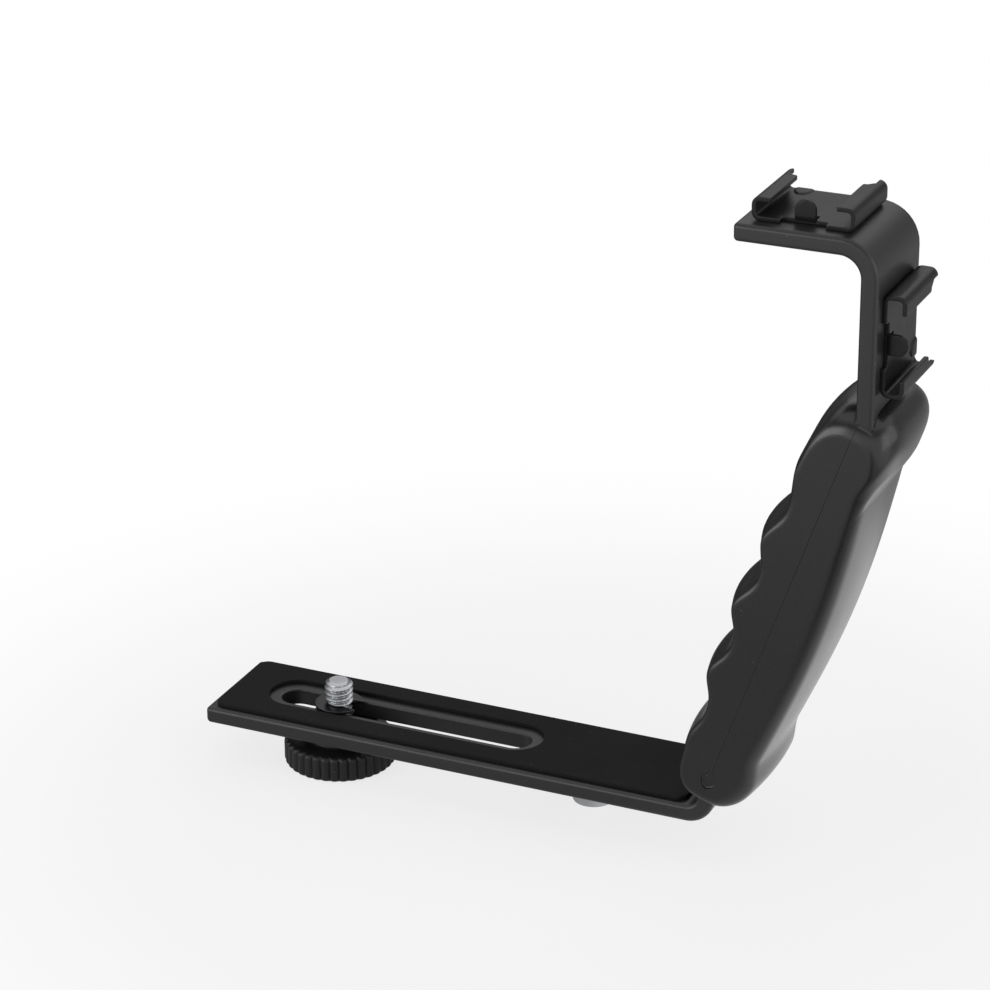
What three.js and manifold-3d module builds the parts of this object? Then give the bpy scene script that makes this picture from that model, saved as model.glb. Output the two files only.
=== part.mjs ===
// Camera flash bracket: one bent flat bar with a slotted base, a moulded two-shell grip round its
// leaning stretch, and a cold shoe riveted to its top arm and to its upright.
// Millimetres, +Z up, +X along the base towards the grip, +Y across the bar.
// The origin is the centre of the mouth of the tripod socket, under the base.

import * as THREE from 'three';
import { mergeVertices } from 'three/addons/utils/BufferGeometryUtils.js';
import Module from 'manifold-3d';

const wasm = await Module();
wasm.setup();

// Bar: lengths run along the centre line of the strip.
const barWidth = 26.2;
const barThickness = 3.8;
const baseTail = 88.4; // socket to the free end of the base
const baseReach = 29.3; // socket to the corner below the grip
const armReach = 28.2; // top arm, from its corner to its free end
const barLean = THREE.MathUtils.degToRad(20.8);
const footBendRadius = 2.5;
const jogBendRadius = 6;
const topBendRadius = 4.5;
const barCornerRadius = 1;

// Tripod socket: a flanged steel insert riveted through the base.
const threadMajor = 6.35;
const threadPitch = 1.27;
const threadDepth = 0.69;
const insertDiameter = 9.2;
const insertDrop = 6.4; // stands out below the base
const insertNeck = 7.9; // neck riveted in the bar
const insertMouthChamfer = 0.35;
const insertEdge = 0.3;

// Seat pad, a rubber sheet glued on the base.
const padThickness = 1;
const padInset = 1.4; // back from the bar's long edges
const padEndGap = 0.6; // short of the bend below the grip
const padCornerRadius = 2.5;
const padSlotWidth = 12.6;

// Slot, and the bolt that slides and turns in it.
const boltInset = 26.8; // bolt at rest, from the base's free end
const slotInset = 12.9; // end of the slot, from the base's free end
const slotLength = 60.4;
const boltNeck = 6;
const slotClearance = 0.3;
const boltStand = 5.2; // thread above the pad
const boltHeadFlats = 11.1;
const boltHeadHeight = 4.2;
const washerDiameter = 17;
const washerThickness = 0.8;
const clipDiameter = 10.8;
const clipThickness = 0.7;
const boltPlay = 0.1; // washer below the bar, clip above it
const clipMouth = 4.4;

// Knob under the base.
const knobDiameter = 25;
const knobRim = 5.9;
const knobHub = 2.6;
const knobHubDiameter = 15;
const knobRibCount = 36;
const knobRibDepth = 0.5;
const knobEdge = 0.6;
const knobDishDepth = 0.8;
const knobDishDiameter = 17.5;
const fitClearance = 0.15;

// Cold shoe, pressed from sheet.
const shoeWidth = 21.3;
const shoeLength = 19.6;
const shoeHeight = 4.9;
const shoeSheet = 0.95;
const shoeLip = 3.9; // lip, from the outer side to its edge
const shoeBendRadius = 0.75;
const shoeRearCut = 4.7; // lip cut back at the entry end
const shoeRearNotch = 2.5; // the same cut at its outer end
const shoeRearStrip = 1.75; // strip of lip left beside that cut
const shoeRearRadius = 0.9;
const shoeFloorCut = 0.6; // floor short of the lips at the entry end
const shoeNotchWidth = 9.3;
const shoeNotchDepth = 1.7;
const stopWidth = 4.4;
const stopHeight = 4.15;
const pipOffset = 6.3;
const pipHalfWidth = 2.1;
const pipDepth = 3.6;
const pipHeight = 0.35;
const topShoeInset = 13.25; // top shoe's centre, from the arm's free end
const sideShoeDrop = 20.4; // side shoe's centre, below the arm's centre line
const sideShoeGap = 2.268; // side shoe above the grip's upper tip
const shoeRivetPitch = 5.6; // from the shoe's centre towards its entry end
const rivetDiameter = 3;
const rivetHeadDiameter = 4.6;
const rivetSink = 0.75;
const rivetTailDiameter = 5;
const rivetTailHeight = 1.3;
const rivetClearance = 0.06;

// Grip: lengths along its own axis, heights from its parting plane.
const gripLean = barLean - THREE.MathUtils.degToRad(1.5);
const gripRise = 4.3; // lower end, along its axis from the corner of the bar
const gripLength = 98;
const gripPastJog = 8.807; // its upper end, past the bar's corner inside it
const gripWidth = 29.4;
const gripOffset = 0.7; // parting plane, from the corner of the bar
const gripWall = 2.2;
const fingerPitch = 17;
const ridgesEachSide = 2;
const ridgeSharpness = 1.3; // exponent of the finger wave: ridges narrower than grooves
const fingerRidge = 46.1; // middle ridge, from the lower end
const ridgeHeight = 6.4; // at the ends of the grip
const ridgeSwell = 3.2; // more in the middle
const grooveHeight = 5.5;
const grooveSwell = 1.1;
const fingerCrown = 2.2;
const palmFootHeight = 7.7; // at its lower waist
const palmHeadHeight = 7.05; // at its upper waist
const palmBelly = 2.1;
const palmFootFlare = 1.1;
const palmHeadFlare = 1.4;
const palmCrown = 1.2;
const palmFootWaist = 14; // from the lower end of the grip
const palmHeadWaist = 18.8; // from the upper end
const palmFlareLength = 7.5;
const fingerFootRadius = 7.5;
const fingerHeadRadius = 9.7;
const palmFootRadius = 10;
const palmHeadRadius = 10.3;
const endFullness = 2.5; // exponent of the end curves: two is an ellipse
const palmHeadFullness = 3;
const headSpan = 28; // the head narrows towards the flat faces over this much of its length
const headDraw = 5.1; // its end is lower at the faces than in the middle
const palmDraw = 2.2; // and its palm side shallower
const headDome = 6; // exponent of both across the grip: nearly all close to the faces
const fingerEdgeRadius = 1.4;
const palmEdgeRadius = 3.6;
const footEdgeRadius = 2.4;
const headEdgeRadius = 1.3;
const partingGap = 0.2;
const barClearance = 0.3;
const channelDraw = 2; // the bar's channel opens this far towards the fingers
const dimpleLength = 4.8;
const dimpleWidth = 3.3;
const dimpleDepth = 0.4;
const dimpleRise = 6.3; // from the lower end of the grip

// Grip screws, driven from the finger side through the bar.
const screwDiameter = 3;
const screwLength = 10;
const screwHeadDiameter = 5.6;
const screwHeadHeight = 2;
const screwLand = 2.4; // shell under the head
const screwHole = 3.5;
const screwHeadClearance = 0.4;
const screwDrive = 0.9; // width of the cross recess
const screwDriveSpan = 3.2;
const screwDriveDepth = 1.1;
const screwBossDiameter = 8.4;
const ribThickness = 1.6;
const lowerScrewRise = 7.4; // from the lower end of the grip

// Shared.
const cutOverrun = 2;
const weldTolerance = 0.0001;
const roundSteps = 28;
const smallRoundSteps = 12;
const arcSteps = 8;
const bendSteps = 5;

// Places that follow from the sizes.
const baseBottom = insertDrop;
const baseTop = baseBottom + barThickness;
const baseMiddle = baseBottom + barThickness / 2;
const padTop = baseTop + padThickness;
const footBend = (footBendRadius + barThickness / 2) * Math.tan((Math.PI / 2 - barLean) / 2);
const padEnd = baseReach - footBend - padEndGap;
const foot = new THREE.Vector2(baseReach, baseMiddle);
const jog = leanPoint(gripRise + gripLength - gripPastJog, 0);
const sideShoeHeight = gripPoint(gripLength, 0).y + sideShoeGap + shoeWidth / 2;
const crown = new THREE.Vector2(jog.x, sideShoeHeight + sideShoeDrop);
const armEnd = crown.x - armReach;
const armTop = crown.y + barThickness / 2;
const uprightFace = crown.x + barThickness / 2;
const boltX = -baseTail + boltInset;
const slotStart = -baseTail + slotInset;
const slotWidth = threadMajor + 2 * slotClearance;
const washerTop = baseBottom - boltPlay;
const knobTop = washerTop - washerThickness;
const knobBottom = knobTop - knobHub - knobRim;
const boltHeadTop = knobBottom + knobDishDepth + boltHeadHeight;
const clipLow = baseTop + boltPlay;
const clipHigh = clipLow + clipThickness;

const coating = new THREE.MeshStandardMaterial({ color: 0x1c1c1d, roughness: 0.5, metalness: 0.3 });
const moulding = new THREE.MeshStandardMaterial({ color: 0x1b1b1c, roughness: 0.6, metalness: 0 });
const rubber = new THREE.MeshStandardMaterial({ color: 0x101010, roughness: 0.95, metalness: 0 });
const pressing = new THREE.MeshStandardMaterial({ color: 0x202021, roughness: 0.42, metalness: 0.5 });
const zinc = new THREE.MeshStandardMaterial({ color: 0x8e9093, roughness: 0.35, metalness: 1 });
const blackSteel = new THREE.MeshStandardMaterial({ color: 0x232425, roughness: 0.4, metalness: 0.8 });
const nylon = new THREE.MeshStandardMaterial({ color: 0x161616, roughness: 0.7, metalness: 0 });

// From a three.js geometry to a closed solid, and back.
function solid(geometry) {
  const bare = new THREE.BufferGeometry();
  bare.setAttribute('position', geometry.getAttribute('position'));
  bare.setIndex(geometry.getIndex());
  const welded = mergeVertices(bare, weldTolerance);
  const places = welded.getAttribute('position').array;
  const corners = welded.getIndex().array;
  const kept = [];
  let volume = 0;
  const a = new THREE.Vector3();
  const b = new THREE.Vector3();
  const c = new THREE.Vector3();
  for (let i = 0; i < corners.length; i += 3) {
    const [p, q, r] = [corners[i], corners[i + 1], corners[i + 2]];
    if (p === q || q === r || r === p) continue;
    kept.push(p, q, r);
    volume += a.fromArray(places, 3 * p).dot(b.fromArray(places, 3 * q).cross(c.fromArray(places, 3 * r)));
  }
  if (volume < 0) kept.reverse();
  const mesh = new wasm.Mesh({ numProp: 3, vertProperties: places, triVerts: new Uint32Array(kept) });
  return new wasm.Manifold(mesh);
}

function surface(body) {
  const mesh = body.getMesh();
  const geometry = new THREE.BufferGeometry();
  geometry.setAttribute('position', new THREE.BufferAttribute(new Float32Array(mesh.vertProperties), 3));
  geometry.setIndex(new THREE.BufferAttribute(new Uint32Array(mesh.triVerts), 1));
  return geometry;
}

function join(bodies) {
  return bodies.reduce((sum, body) => sum.add(body));
}

function cut(body, tools) {
  return tools.reduce((rest, tool) => rest.subtract(tool), body);
}

// A plate: an outline in X and Y, raised from one height to another.
function plate(shape, low, high) {
  const geometry = new THREE.ExtrudeGeometry(shape, {
    depth: high - low, bevelEnabled: false, curveSegments: arcSteps,
  });
  return solid(geometry.translate(0, 0, low));
}

// A slab: an outline in X and Z, spread evenly to both sides along Y.
function slab(shape, width, middle = 0) {
  const geometry = new THREE.ExtrudeGeometry(shape, { depth: width, bevelEnabled: false, curveSegments: arcSteps });
  geometry.translate(0, 0, -width / 2).rotateX(Math.PI / 2).translate(0, middle, 0);
  return solid(geometry);
}

// A turned piece about the Z axis, from its radii and heights.
function turned(profile, steps = roundSteps) {
  const points = profile.map(([radius, height]) => new THREE.Vector2(radius, height));
  return solid(new THREE.LatheGeometry(points, steps).rotateX(Math.PI / 2));
}

function rod(radius, low, high, steps = roundSteps) {
  return turned([[0, low], [radius, low], [radius, high], [0, high]], steps);
}

function block(xs, ys, zs) {
  const geometry = new THREE.BoxGeometry(xs[1] - xs[0], ys[1] - ys[0], zs[1] - zs[0]);
  return solid(geometry.translate((xs[0] + xs[1]) / 2, (ys[0] + ys[1]) / 2, (zs[0] + zs[1]) / 2));
}

function slotShape(from, to, width) {
  const shape = new THREE.Shape();
  shape.absarc(to, 0, width / 2, -Math.PI / 2, Math.PI / 2, false);
  shape.absarc(from, 0, width / 2, Math.PI / 2, 3 * Math.PI / 2, false);
  return shape;
}

function roundedRectangle(x0, x1, y0, y1, radius) {
  const shape = new THREE.Shape();
  shape.absarc(x1 - radius, y0 + radius, radius, -Math.PI / 2, 0, false);
  shape.absarc(x1 - radius, y1 - radius, radius, 0, Math.PI / 2, false);
  shape.absarc(x0 + radius, y1 - radius, radius, Math.PI / 2, Math.PI, false);
  shape.absarc(x0 + radius, y0 + radius, radius, Math.PI, 3 * Math.PI / 2, false);
  return shape;
}

// The outline of a strip bent at its corners: both faces turn about one centre at each bend.
function bentStrip(corners, innerRadii, thickness) {
  const left = [];
  const right = [];
  const put = (point, normal) => {
    left.push(point.clone().addScaledVector(normal, thickness / 2));
    right.push(point.clone().addScaledVector(normal, -thickness / 2));
  };
  const turnLeft = (v) => new THREE.Vector2(-v.y, v.x);
  const heading = (i) => corners[i + 1].clone().sub(corners[i]).normalize();
  put(corners[0], turnLeft(heading(0)));
  innerRadii.forEach((inner, i) => {
    const before = heading(i);
    const normal = turnLeft(before);
    const turn = Math.atan2(before.cross(heading(i + 1)), before.dot(heading(i + 1)));
    const side = Math.sign(turn);
    const radius = inner + thickness / 2;
    const start = corners[i + 1].clone().addScaledVector(before, -radius * Math.tan(Math.abs(turn) / 2));
    const centre = start.clone().addScaledVector(normal, side * radius);
    for (let step = 0; step <= bendSteps; step += 1) {
      const outward = normal.clone().rotateAround(new THREE.Vector2(), turn * step / bendSteps);
      put(centre.clone().addScaledVector(outward, -side * radius), outward);
    }
  });
  put(corners.at(-1), turnLeft(heading(corners.length - 2)));
  return new THREE.Shape([...left, ...right.reverse()]);
}

// What lies outside the two rounded plan corners of a bar end that faces -X.
function endWaste(end, low, high) {
  const half = barWidth / 2;
  const around = block(
    [end - cutOverrun, end + barCornerRadius], [-half - cutOverrun, half + cutOverrun], [low, high],
  );
  return around.subtract(plate(roundedRectangle(end, end + barWidth, -half, half, barCornerRadius), low, high));
}

// Frames: along the bar's lean, and along the grip's own axis.
function leanPoint(along, out) {
  return new THREE.Vector2(
    foot.x + along * Math.sin(barLean) - out * Math.cos(barLean),
    foot.y + along * Math.cos(barLean) + out * Math.sin(barLean),
  );
}

function gripPoint(along, out) {
  const s = along + gripRise;
  const h = out + gripOffset;
  return new THREE.Vector2(
    foot.x + s * Math.sin(gripLean) - h * Math.cos(gripLean),
    foot.y + s * Math.cos(gripLean) + h * Math.sin(gripLean),
  );
}

// Moves a piece made about the Z axis so that Z points out of the bar's finger side.
function onLean(body, along, out = 0) {
  const place = leanPoint(along, out);
  return body.rotate([0, -90 + THREE.MathUtils.radToDeg(barLean), 0]).translate([place.x, 0, place.y]);
}

const screwRises = [
  lowerScrewRise,
  fingerRidge - fingerPitch / 2,
  fingerRidge + 1.5 * fingerPitch,
];
const screwAlong = screwRises.map((rise) => rise + gripRise);

// Bar.
function barOutline(extra) {
  const corners = [
    new THREE.Vector2(-baseTail, baseMiddle), foot, jog, crown, new THREE.Vector2(armEnd, crown.y),
  ];
  const radii = [footBendRadius, jogBendRadius, topBendRadius];
  return bentStrip(corners, radii.map((radius) => radius - extra), barThickness + 2 * extra);
}

function makeBar() {
  const slotEnd = slotStart + slotLength;
  const slot = slotShape(slotStart + slotWidth / 2, slotEnd - slotWidth / 2, slotWidth);
  const tools = [
    endWaste(-baseTail, baseBottom - cutOverrun, baseTop + cutOverrun),
    endWaste(armEnd, armTop - barThickness - cutOverrun, armTop + cutOverrun),
    plate(slot, baseBottom - cutOverrun, baseTop + cutOverrun),
    rod(insertNeck / 2 + fitClearance, baseBottom - cutOverrun, baseTop + cutOverrun),
  ];
  const rivetRadius = rivetDiameter / 2 + rivetClearance;
  const rivetHole = rod(rivetRadius, -barThickness - cutOverrun, cutOverrun, smallRoundSteps);
  for (const across of [0, shoeRivetPitch]) {
    tools.push(rivetHole.translate([armEnd + topShoeInset, across, armTop]));
    tools.push(rivetHole.rotate([0, 90, 0]).translate([uprightFace, across, sideShoeHeight]));
  }
  for (const along of screwAlong) {
    tools.push(onLean(rod(screwHole / 2, -barThickness, barThickness, smallRoundSteps), along));
  }
  return cut(slab(barOutline(0), barWidth), tools);
}

// Seat pad.
function makePad() {
  const half = barWidth / 2 - padInset;
  const shape = roundedRectangle(-baseTail + padInset, padEnd, -half, half, padCornerRadius);
  const slotEnd = slotStart + slotLength;
  const slot = slotShape(slotStart + slotWidth / 2, slotEnd - slotWidth / 2, padSlotWidth);
  return plate(shape, baseTop, padTop).subtract(plate(slot, baseTop - cutOverrun, padTop + cutOverrun));
}

// Tripod socket insert, with its bore at the thread's major diameter.
function makeInsert() {
  const bore = threadMajor / 2;
  const outer = insertDiameter / 2;
  const neck = insertNeck / 2;
  return turned([
    [bore + insertMouthChamfer, 0], [outer - insertEdge, 0], [outer, insertEdge],
    [outer, insertDrop], [neck, insertDrop], [neck, baseTop], [bore, baseTop],
    [bore, insertMouthChamfer], [bore + insertMouthChamfer, 0],
  ]);
}

// A helical thread as a grid of points: rings up the shank, each point's radius from its phase.
function threadedRod(root, low, high) {
  const ringsPerTurn = 4;
  const around = 14;
  const rings = Math.max(2, Math.round((high - low) / threadPitch * ringsPerTurn));
  const places = [0, 0, low];
  for (let ring = 0; ring <= rings; ring += 1) {
    const height = low + (high - low) * ring / rings;
    for (let step = 0; step < around; step += 1) {
      const angle = 2 * Math.PI * step / around;
      const phase = (height - low) / threadPitch - step / around;
      const wave = Math.abs(2 * (phase - Math.floor(phase)) - 1);
      const ease = Math.min(1, (high - height) / threadPitch);
      const radius = root + threadDepth * wave * ease;
      places.push(radius * Math.cos(angle), radius * Math.sin(angle), height);
    }
  }
  places.push(0, 0, high);
  return gridSolid(places, rings, around);
}

// Closes a grid of rings with a fan to the first and to the last point.
function gridSolid(places, rings, around) {
  const index = [];
  const at = (ring, step) => 1 + ring * around + (step % around);
  for (let step = 0; step < around; step += 1) {
    index.push(0, at(0, step + 1), at(0, step));
    for (let ring = 0; ring < rings; ring += 1) {
      index.push(at(ring, step), at(ring, step + 1), at(ring + 1, step + 1));
      index.push(at(ring, step), at(ring + 1, step + 1), at(ring + 1, step));
    }
    index.push(places.length / 3 - 1, at(rings, step), at(rings, step + 1));
  }
  const geometry = new THREE.BufferGeometry();
  geometry.setAttribute('position', new THREE.BufferAttribute(new Float32Array(places), 3));
  geometry.setIndex(index);
  return solid(geometry);
}

function hexagon(flats) {
  const corners = [];
  for (let side = 0; side < 6; side += 1) {
    const angle = Math.PI / 3 * side;
    const radius = flats / 2 / Math.cos(Math.PI / 6);
    corners.push(new THREE.Vector2(radius * Math.cos(angle), radius * Math.sin(angle)));
  }
  return new THREE.Shape(corners);
}

// Seat bolt: hex head in the knob, plain neck through the slot, groove for the clip, thread above.
function makeBolt() {
  const headLow = boltHeadTop - boltHeadHeight;
  const threadHigh = padTop + boltStand;
  return join([
    plate(hexagon(boltHeadFlats), headLow, boltHeadTop),
    rod(boltNeck / 2, headLow, clipLow - fitClearance),
    rod(clipMouth / 2, headLow, threadHigh - threadPitch, smallRoundSteps),
    threadedRod(threadMajor / 2 - threadDepth, clipHigh + fitClearance, threadHigh),
  ]);
}

// Knob: ribbed rim, hub up to the washer, and a dished foot with the pocket for the bolt's head.
function makeKnob() {
  const outer = knobDiameter / 2;
  const rimTop = knobBottom + knobRim;
  const profile = [
    [outer - knobEdge, knobBottom], [outer, knobBottom + knobEdge],
    [outer, rimTop - knobEdge], [outer - knobEdge, rimTop],
  ];
  const around = 2 * knobRibCount;
  const places = [0, 0, knobBottom];
  for (const [radius, height] of profile) {
    for (let step = 0; step < around; step += 1) {
      const angle = 2 * Math.PI * step / around;
      const ribbed = radius - knobRibDepth * (step % 2);
      places.push(ribbed * Math.cos(angle), ribbed * Math.sin(angle), height);
    }
  }
  places.push(0, 0, rimTop);
  const rim = gridSolid(places, profile.length - 1, around);
  const hub = rod(knobHubDiameter / 2, rimTop - knobEdge, knobTop);
  const pocketFlats = boltHeadFlats + 2 * fitClearance;
  return cut(rim.add(hub), [
    rod(knobDishDiameter / 2, knobBottom - cutOverrun, knobBottom + knobDishDepth),
    plate(hexagon(pocketFlats), knobBottom - cutOverrun, boltHeadTop),
    rod(boltNeck / 2 + fitClearance, knobBottom, knobTop + cutOverrun),
  ]);
}

function makeWasher() {
  const inner = boltNeck / 2 + fitClearance;
  const outer = washerDiameter / 2;
  return turned([
    [inner, knobTop], [outer, knobTop], [outer, washerTop], [inner, washerTop], [inner, knobTop],
  ]);
}

// Retaining clip: a ring open at one side, gripping the bolt's groove.
function makeClip() {
  const bore = clipMouth / 2 + fitClearance;
  const outer = clipDiameter / 2;
  const ring = turned([[bore, clipLow], [outer, clipLow], [outer, clipHigh], [bore, clipHigh], [bore, clipLow]]);
  const mouth = [-clipMouth / 2, clipMouth / 2];
  return ring.subtract(block([0, clipDiameter], mouth, [clipLow - cutOverrun, clipHigh + cutOverrun]));
}

// Cold shoe in its own frame: floor on Z = 0, rails along Y, foot slides in from +Y.
function makeShoe() {
  const side = shoeWidth / 2 - shoeSheet / 2;
  const floor = shoeSheet / 2;
  const top = shoeHeight - shoeSheet / 2;
  const lipEdge = shoeWidth / 2 - shoeLip;
  const corners = [[-lipEdge, top], [-side, top], [-side, floor], [side, floor], [side, top], [lipEdge, top]];
  const outline = bentStrip(
    corners.map(([x, z]) => new THREE.Vector2(x, z)),
    corners.slice(2).map(() => shoeBendRadius),
    shoeSheet,
  );
  const front = -shoeLength / 2;
  const rear = shoeLength / 2;
  const past = rear + cutOverrun;
  const stripEdge = shoeWidth / 2 - shoeRearStrip;
  const notchHalf = shoeNotchWidth / 2;
  const notchBack = front + shoeNotchDepth;
  const inside = shoeWidth / 2 - shoeSheet - shoeBendRadius;
  const tools = [
    block([-notchHalf, notchHalf], [front - cutOverrun, notchBack], [-cutOverrun, shoeHeight]),
    block([-inside, inside], [rear - shoeFloorCut, past], [-cutOverrun, shoeHeight / 2]),
  ];
  const parts = [slab(outline, shoeLength)];
  for (const hand of [-1, 1]) {
    const relief = new THREE.Shape();
    relief.moveTo(hand * (lipEdge - cutOverrun), rear - shoeRearCut);
    relief.lineTo(hand * lipEdge, rear - shoeRearCut);
    relief.quadraticCurveTo(
      hand * lipEdge, rear - shoeRearCut + shoeRearRadius,
      hand * (lipEdge + shoeRearRadius), rear - shoeRearCut + shoeRearRadius,
    );
    relief.lineTo(hand * stripEdge, rear - shoeRearNotch);
    relief.lineTo(hand * stripEdge, past);
    relief.lineTo(hand * (lipEdge - cutOverrun), past);
    tools.push(plate(relief, shoeHeight / 2, shoeHeight + cutOverrun));
    const pip = new THREE.Shape();
    pip.absellipse(hand * pipOffset, rear - shoeFloorCut, pipHalfWidth, pipDepth, Math.PI, 2 * Math.PI, false, 0);
    parts.push(plate(pip, shoeSheet / 2, shoeSheet + pipHeight));
  }
  const sink = turned([
    [0, -cutOverrun], [rivetDiameter / 2 + rivetClearance, -cutOverrun],
    [rivetDiameter / 2 + rivetClearance, shoeSheet - rivetSink],
    [rivetHeadDiameter / 2 + rivetClearance, shoeSheet],
    [rivetHeadDiameter / 2 + rivetClearance, shoeSheet + cutOverrun], [0, shoeSheet + cutOverrun],
  ], smallRoundSteps);
  tools.push(sink, sink.translate([0, shoeRivetPitch, 0]));
  const stopFoot = notchBack + shoeBendRadius + shoeSheet / 2;
  tools.push(block([-stopWidth / 2, stopWidth / 2], [front - cutOverrun, stopFoot], [-cutOverrun, shoeHeight]));
  return cut(join(parts), tools).add(makeStop(notchBack, stopFoot));
}

// The stop tab: a strip of the floor turned up, its end rounded.
function makeStop(face, root) {
  const top = shoeSheet + stopHeight;
  const strip = bentStrip([
    new THREE.Vector2(root + shoeSheet, shoeSheet / 2), new THREE.Vector2(face, shoeSheet / 2),
    new THREE.Vector2(face, top),
  ], [shoeBendRadius], shoeSheet);
  const front = new THREE.Shape();
  front.moveTo(-stopWidth / 2, 0);
  front.lineTo(stopWidth / 2, 0);
  front.absarc(0, top - stopWidth / 2, stopWidth / 2, 0, Math.PI, false);
  return slab(strip, stopWidth).rotate([0, 0, 90]).intersect(slab(front, shoeLength));
}

// Flush rivet, its tail headed on the far side of the bar.
function makeRivet() {
  const shank = rivetDiameter / 2;
  const tail = -barThickness;
  return turned([
    [0, tail - rivetTailHeight], [rivetTailDiameter / 4, tail - rivetTailHeight],
    [rivetTailDiameter / 2, tail - rivetTailHeight / 2], [rivetTailDiameter / 2, tail],
    [shank, tail], [shank, shoeSheet - rivetSink], [rivetHeadDiameter / 2, shoeSheet], [0, shoeSheet],
  ], smallRoundSteps);
}

// Grip profile: heights above and below the parting plane at a place along the grip. The share
// is 0 in the middle of the grip's width and 1 at its flat faces.
function fingerHeight(along) {
  const swell = Math.sin(Math.PI * THREE.MathUtils.clamp(along / gripLength, 0, 1));
  const turns = THREE.MathUtils.clamp((along - fingerRidge) / fingerPitch, -ridgesEachSide, ridgesEachSide);
  const wave = ((1 + Math.cos(2 * Math.PI * turns)) / 2) ** ridgeSharpness;
  const low = grooveHeight + grooveSwell * swell;
  return low + (ridgeHeight + ridgeSwell * swell - low) * wave;
}

function palmDepth(along, share) {
  const between = (along - palmFootWaist) / (gripLength - palmFootWaist - palmHeadWaist);
  const waist = THREE.MathUtils.lerp(palmFootHeight, palmHeadHeight, THREE.MathUtils.clamp(between, 0, 1));
  const height = waist - palmDraw * share * headShare(along);
  if (between > 0 && between < 1) return height + palmBelly * Math.sin(Math.PI * between);
  const past = Math.max(palmFootWaist - along, along - gripLength + palmHeadWaist);
  const flare = between < 0 ? palmFootFlare : palmHeadFlare;
  return height + flare * (1 - Math.cos(Math.PI * Math.min(1, past / palmFlareLength))) / 2;
}

function headShare(along) {
  return THREE.MathUtils.smoothstep(along, gripLength - headSpan, gripLength);
}

// One side of the outline, from the lower tip to the upper tip: rounded foot, side, rounded head.
function gripSide(side, wall, detail, share) {
  const points = [];
  const put = (along, part) => points.push(new THREE.Vector2(along, part * (side.height(along, share) - wall)));
  const [start, stop] = [wall, gripLength - wall - headDraw * share];
  const [footPower, headPower] = [2 / endFullness, 2 / side.headFullness];
  for (let step = 0; step < detail.end; step += 1) {
    const angle = Math.PI / 2 * step / detail.end;
    put(start + side.footRadius * (1 - Math.cos(angle) ** footPower), Math.sin(angle) ** footPower);
  }
  for (let step = 0; step < detail.side; step += 1) {
    put(start + side.footRadius + (stop - start - side.footRadius - side.headRadius) * step / detail.side, 1);
  }
  for (let step = detail.end; step >= 0; step -= 1) {
    const angle = Math.PI / 2 * step / detail.end;
    put(stop - side.headRadius * (1 - Math.cos(angle) ** headPower), Math.sin(angle) ** headPower);
  }
  return points;
}

function gripOutline(wall, detail, share) {
  const finger = gripSide({
    height: fingerHeight, footRadius: fingerFootRadius, headRadius: fingerHeadRadius, headFullness: endFullness,
  }, wall, detail, share);
  const palm = gripSide({
    height: palmDepth, footRadius: palmFootRadius, headRadius: palmHeadRadius, headFullness: palmHeadFullness,
  }, wall, detail, share);
  return [...finger, ...palm.slice(1, -1).reverse().map((point) => new THREE.Vector2(point.x, -point.y))];
}

// The grip's body: from the outline at one flat face through the one in the middle to the other
// face, crowned and with rounded edges. A wall above zero gives the hollow inside it.
function gripBody(wall, detail) {
  const middle = gripOutline(wall, detail, 0);
  const face = gripOutline(wall, detail, 1);
  const count = middle.length;
  const half = gripWidth / 2 - wall;
  const rings = [];
  for (let step = 0; step <= detail.edge; step += 1) rings.push({ edge: step / detail.edge, side: -1 });
  for (let step = 1; step < detail.across; step += 1) {
    rings.push({ middle: Math.sin(Math.PI * (step / detail.across - 1 / 2)) });
  }
  for (let step = detail.edge; step >= 0; step -= 1) rings.push({ edge: step / detail.edge, side: 1 });
  const skin = middle.map((point, i) => {
    const heading = middle[(i + 1) % count].clone().sub(middle[(i + count - 1) % count]).normalize();
    const normal = new THREE.Vector2(-heading.y, heading.x);
    const sideRadius = THREE.MathUtils.lerp(
      normal.y > 0 ? fingerEdgeRadius : palmEdgeRadius, headEdgeRadius, headShare(point.x),
    );
    const endRadius = normal.x > 0 ? headEdgeRadius : footEdgeRadius;
    return { normal, radius: Math.max(0, THREE.MathUtils.lerp(sideRadius, endRadius, normal.x ** 4) - wall) };
  });
  const places = [];
  for (const ring of rings) {
    skin.forEach(({ normal, radius }, i) => {
      const flat = half - radius;
      const angle = Math.PI / 2 * (ring.edge ?? 1);
      const y = ring.side ? ring.side * (flat + radius * Math.cos(angle)) : ring.middle * flat;
      const point = middle[i].clone().lerp(face[i], Math.abs(y / half) ** headDome);
      const reach = point.y > 0 ? ridgeHeight + ridgeSwell : palmFootHeight + palmBelly;
      const bulge = (1 - (y / half) ** 2) * (point.y > 0 ? fingerCrown : palmCrown) * point.y / reach;
      const inset = radius * (1 - Math.sin(angle));
      const place = gripPoint(point.x - normal.x * inset, point.y - normal.y * inset + bulge);
      places.push(place.x, y, place.y);
    });
  }
  return pairedSolid(places, rings.length, count);
}

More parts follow.
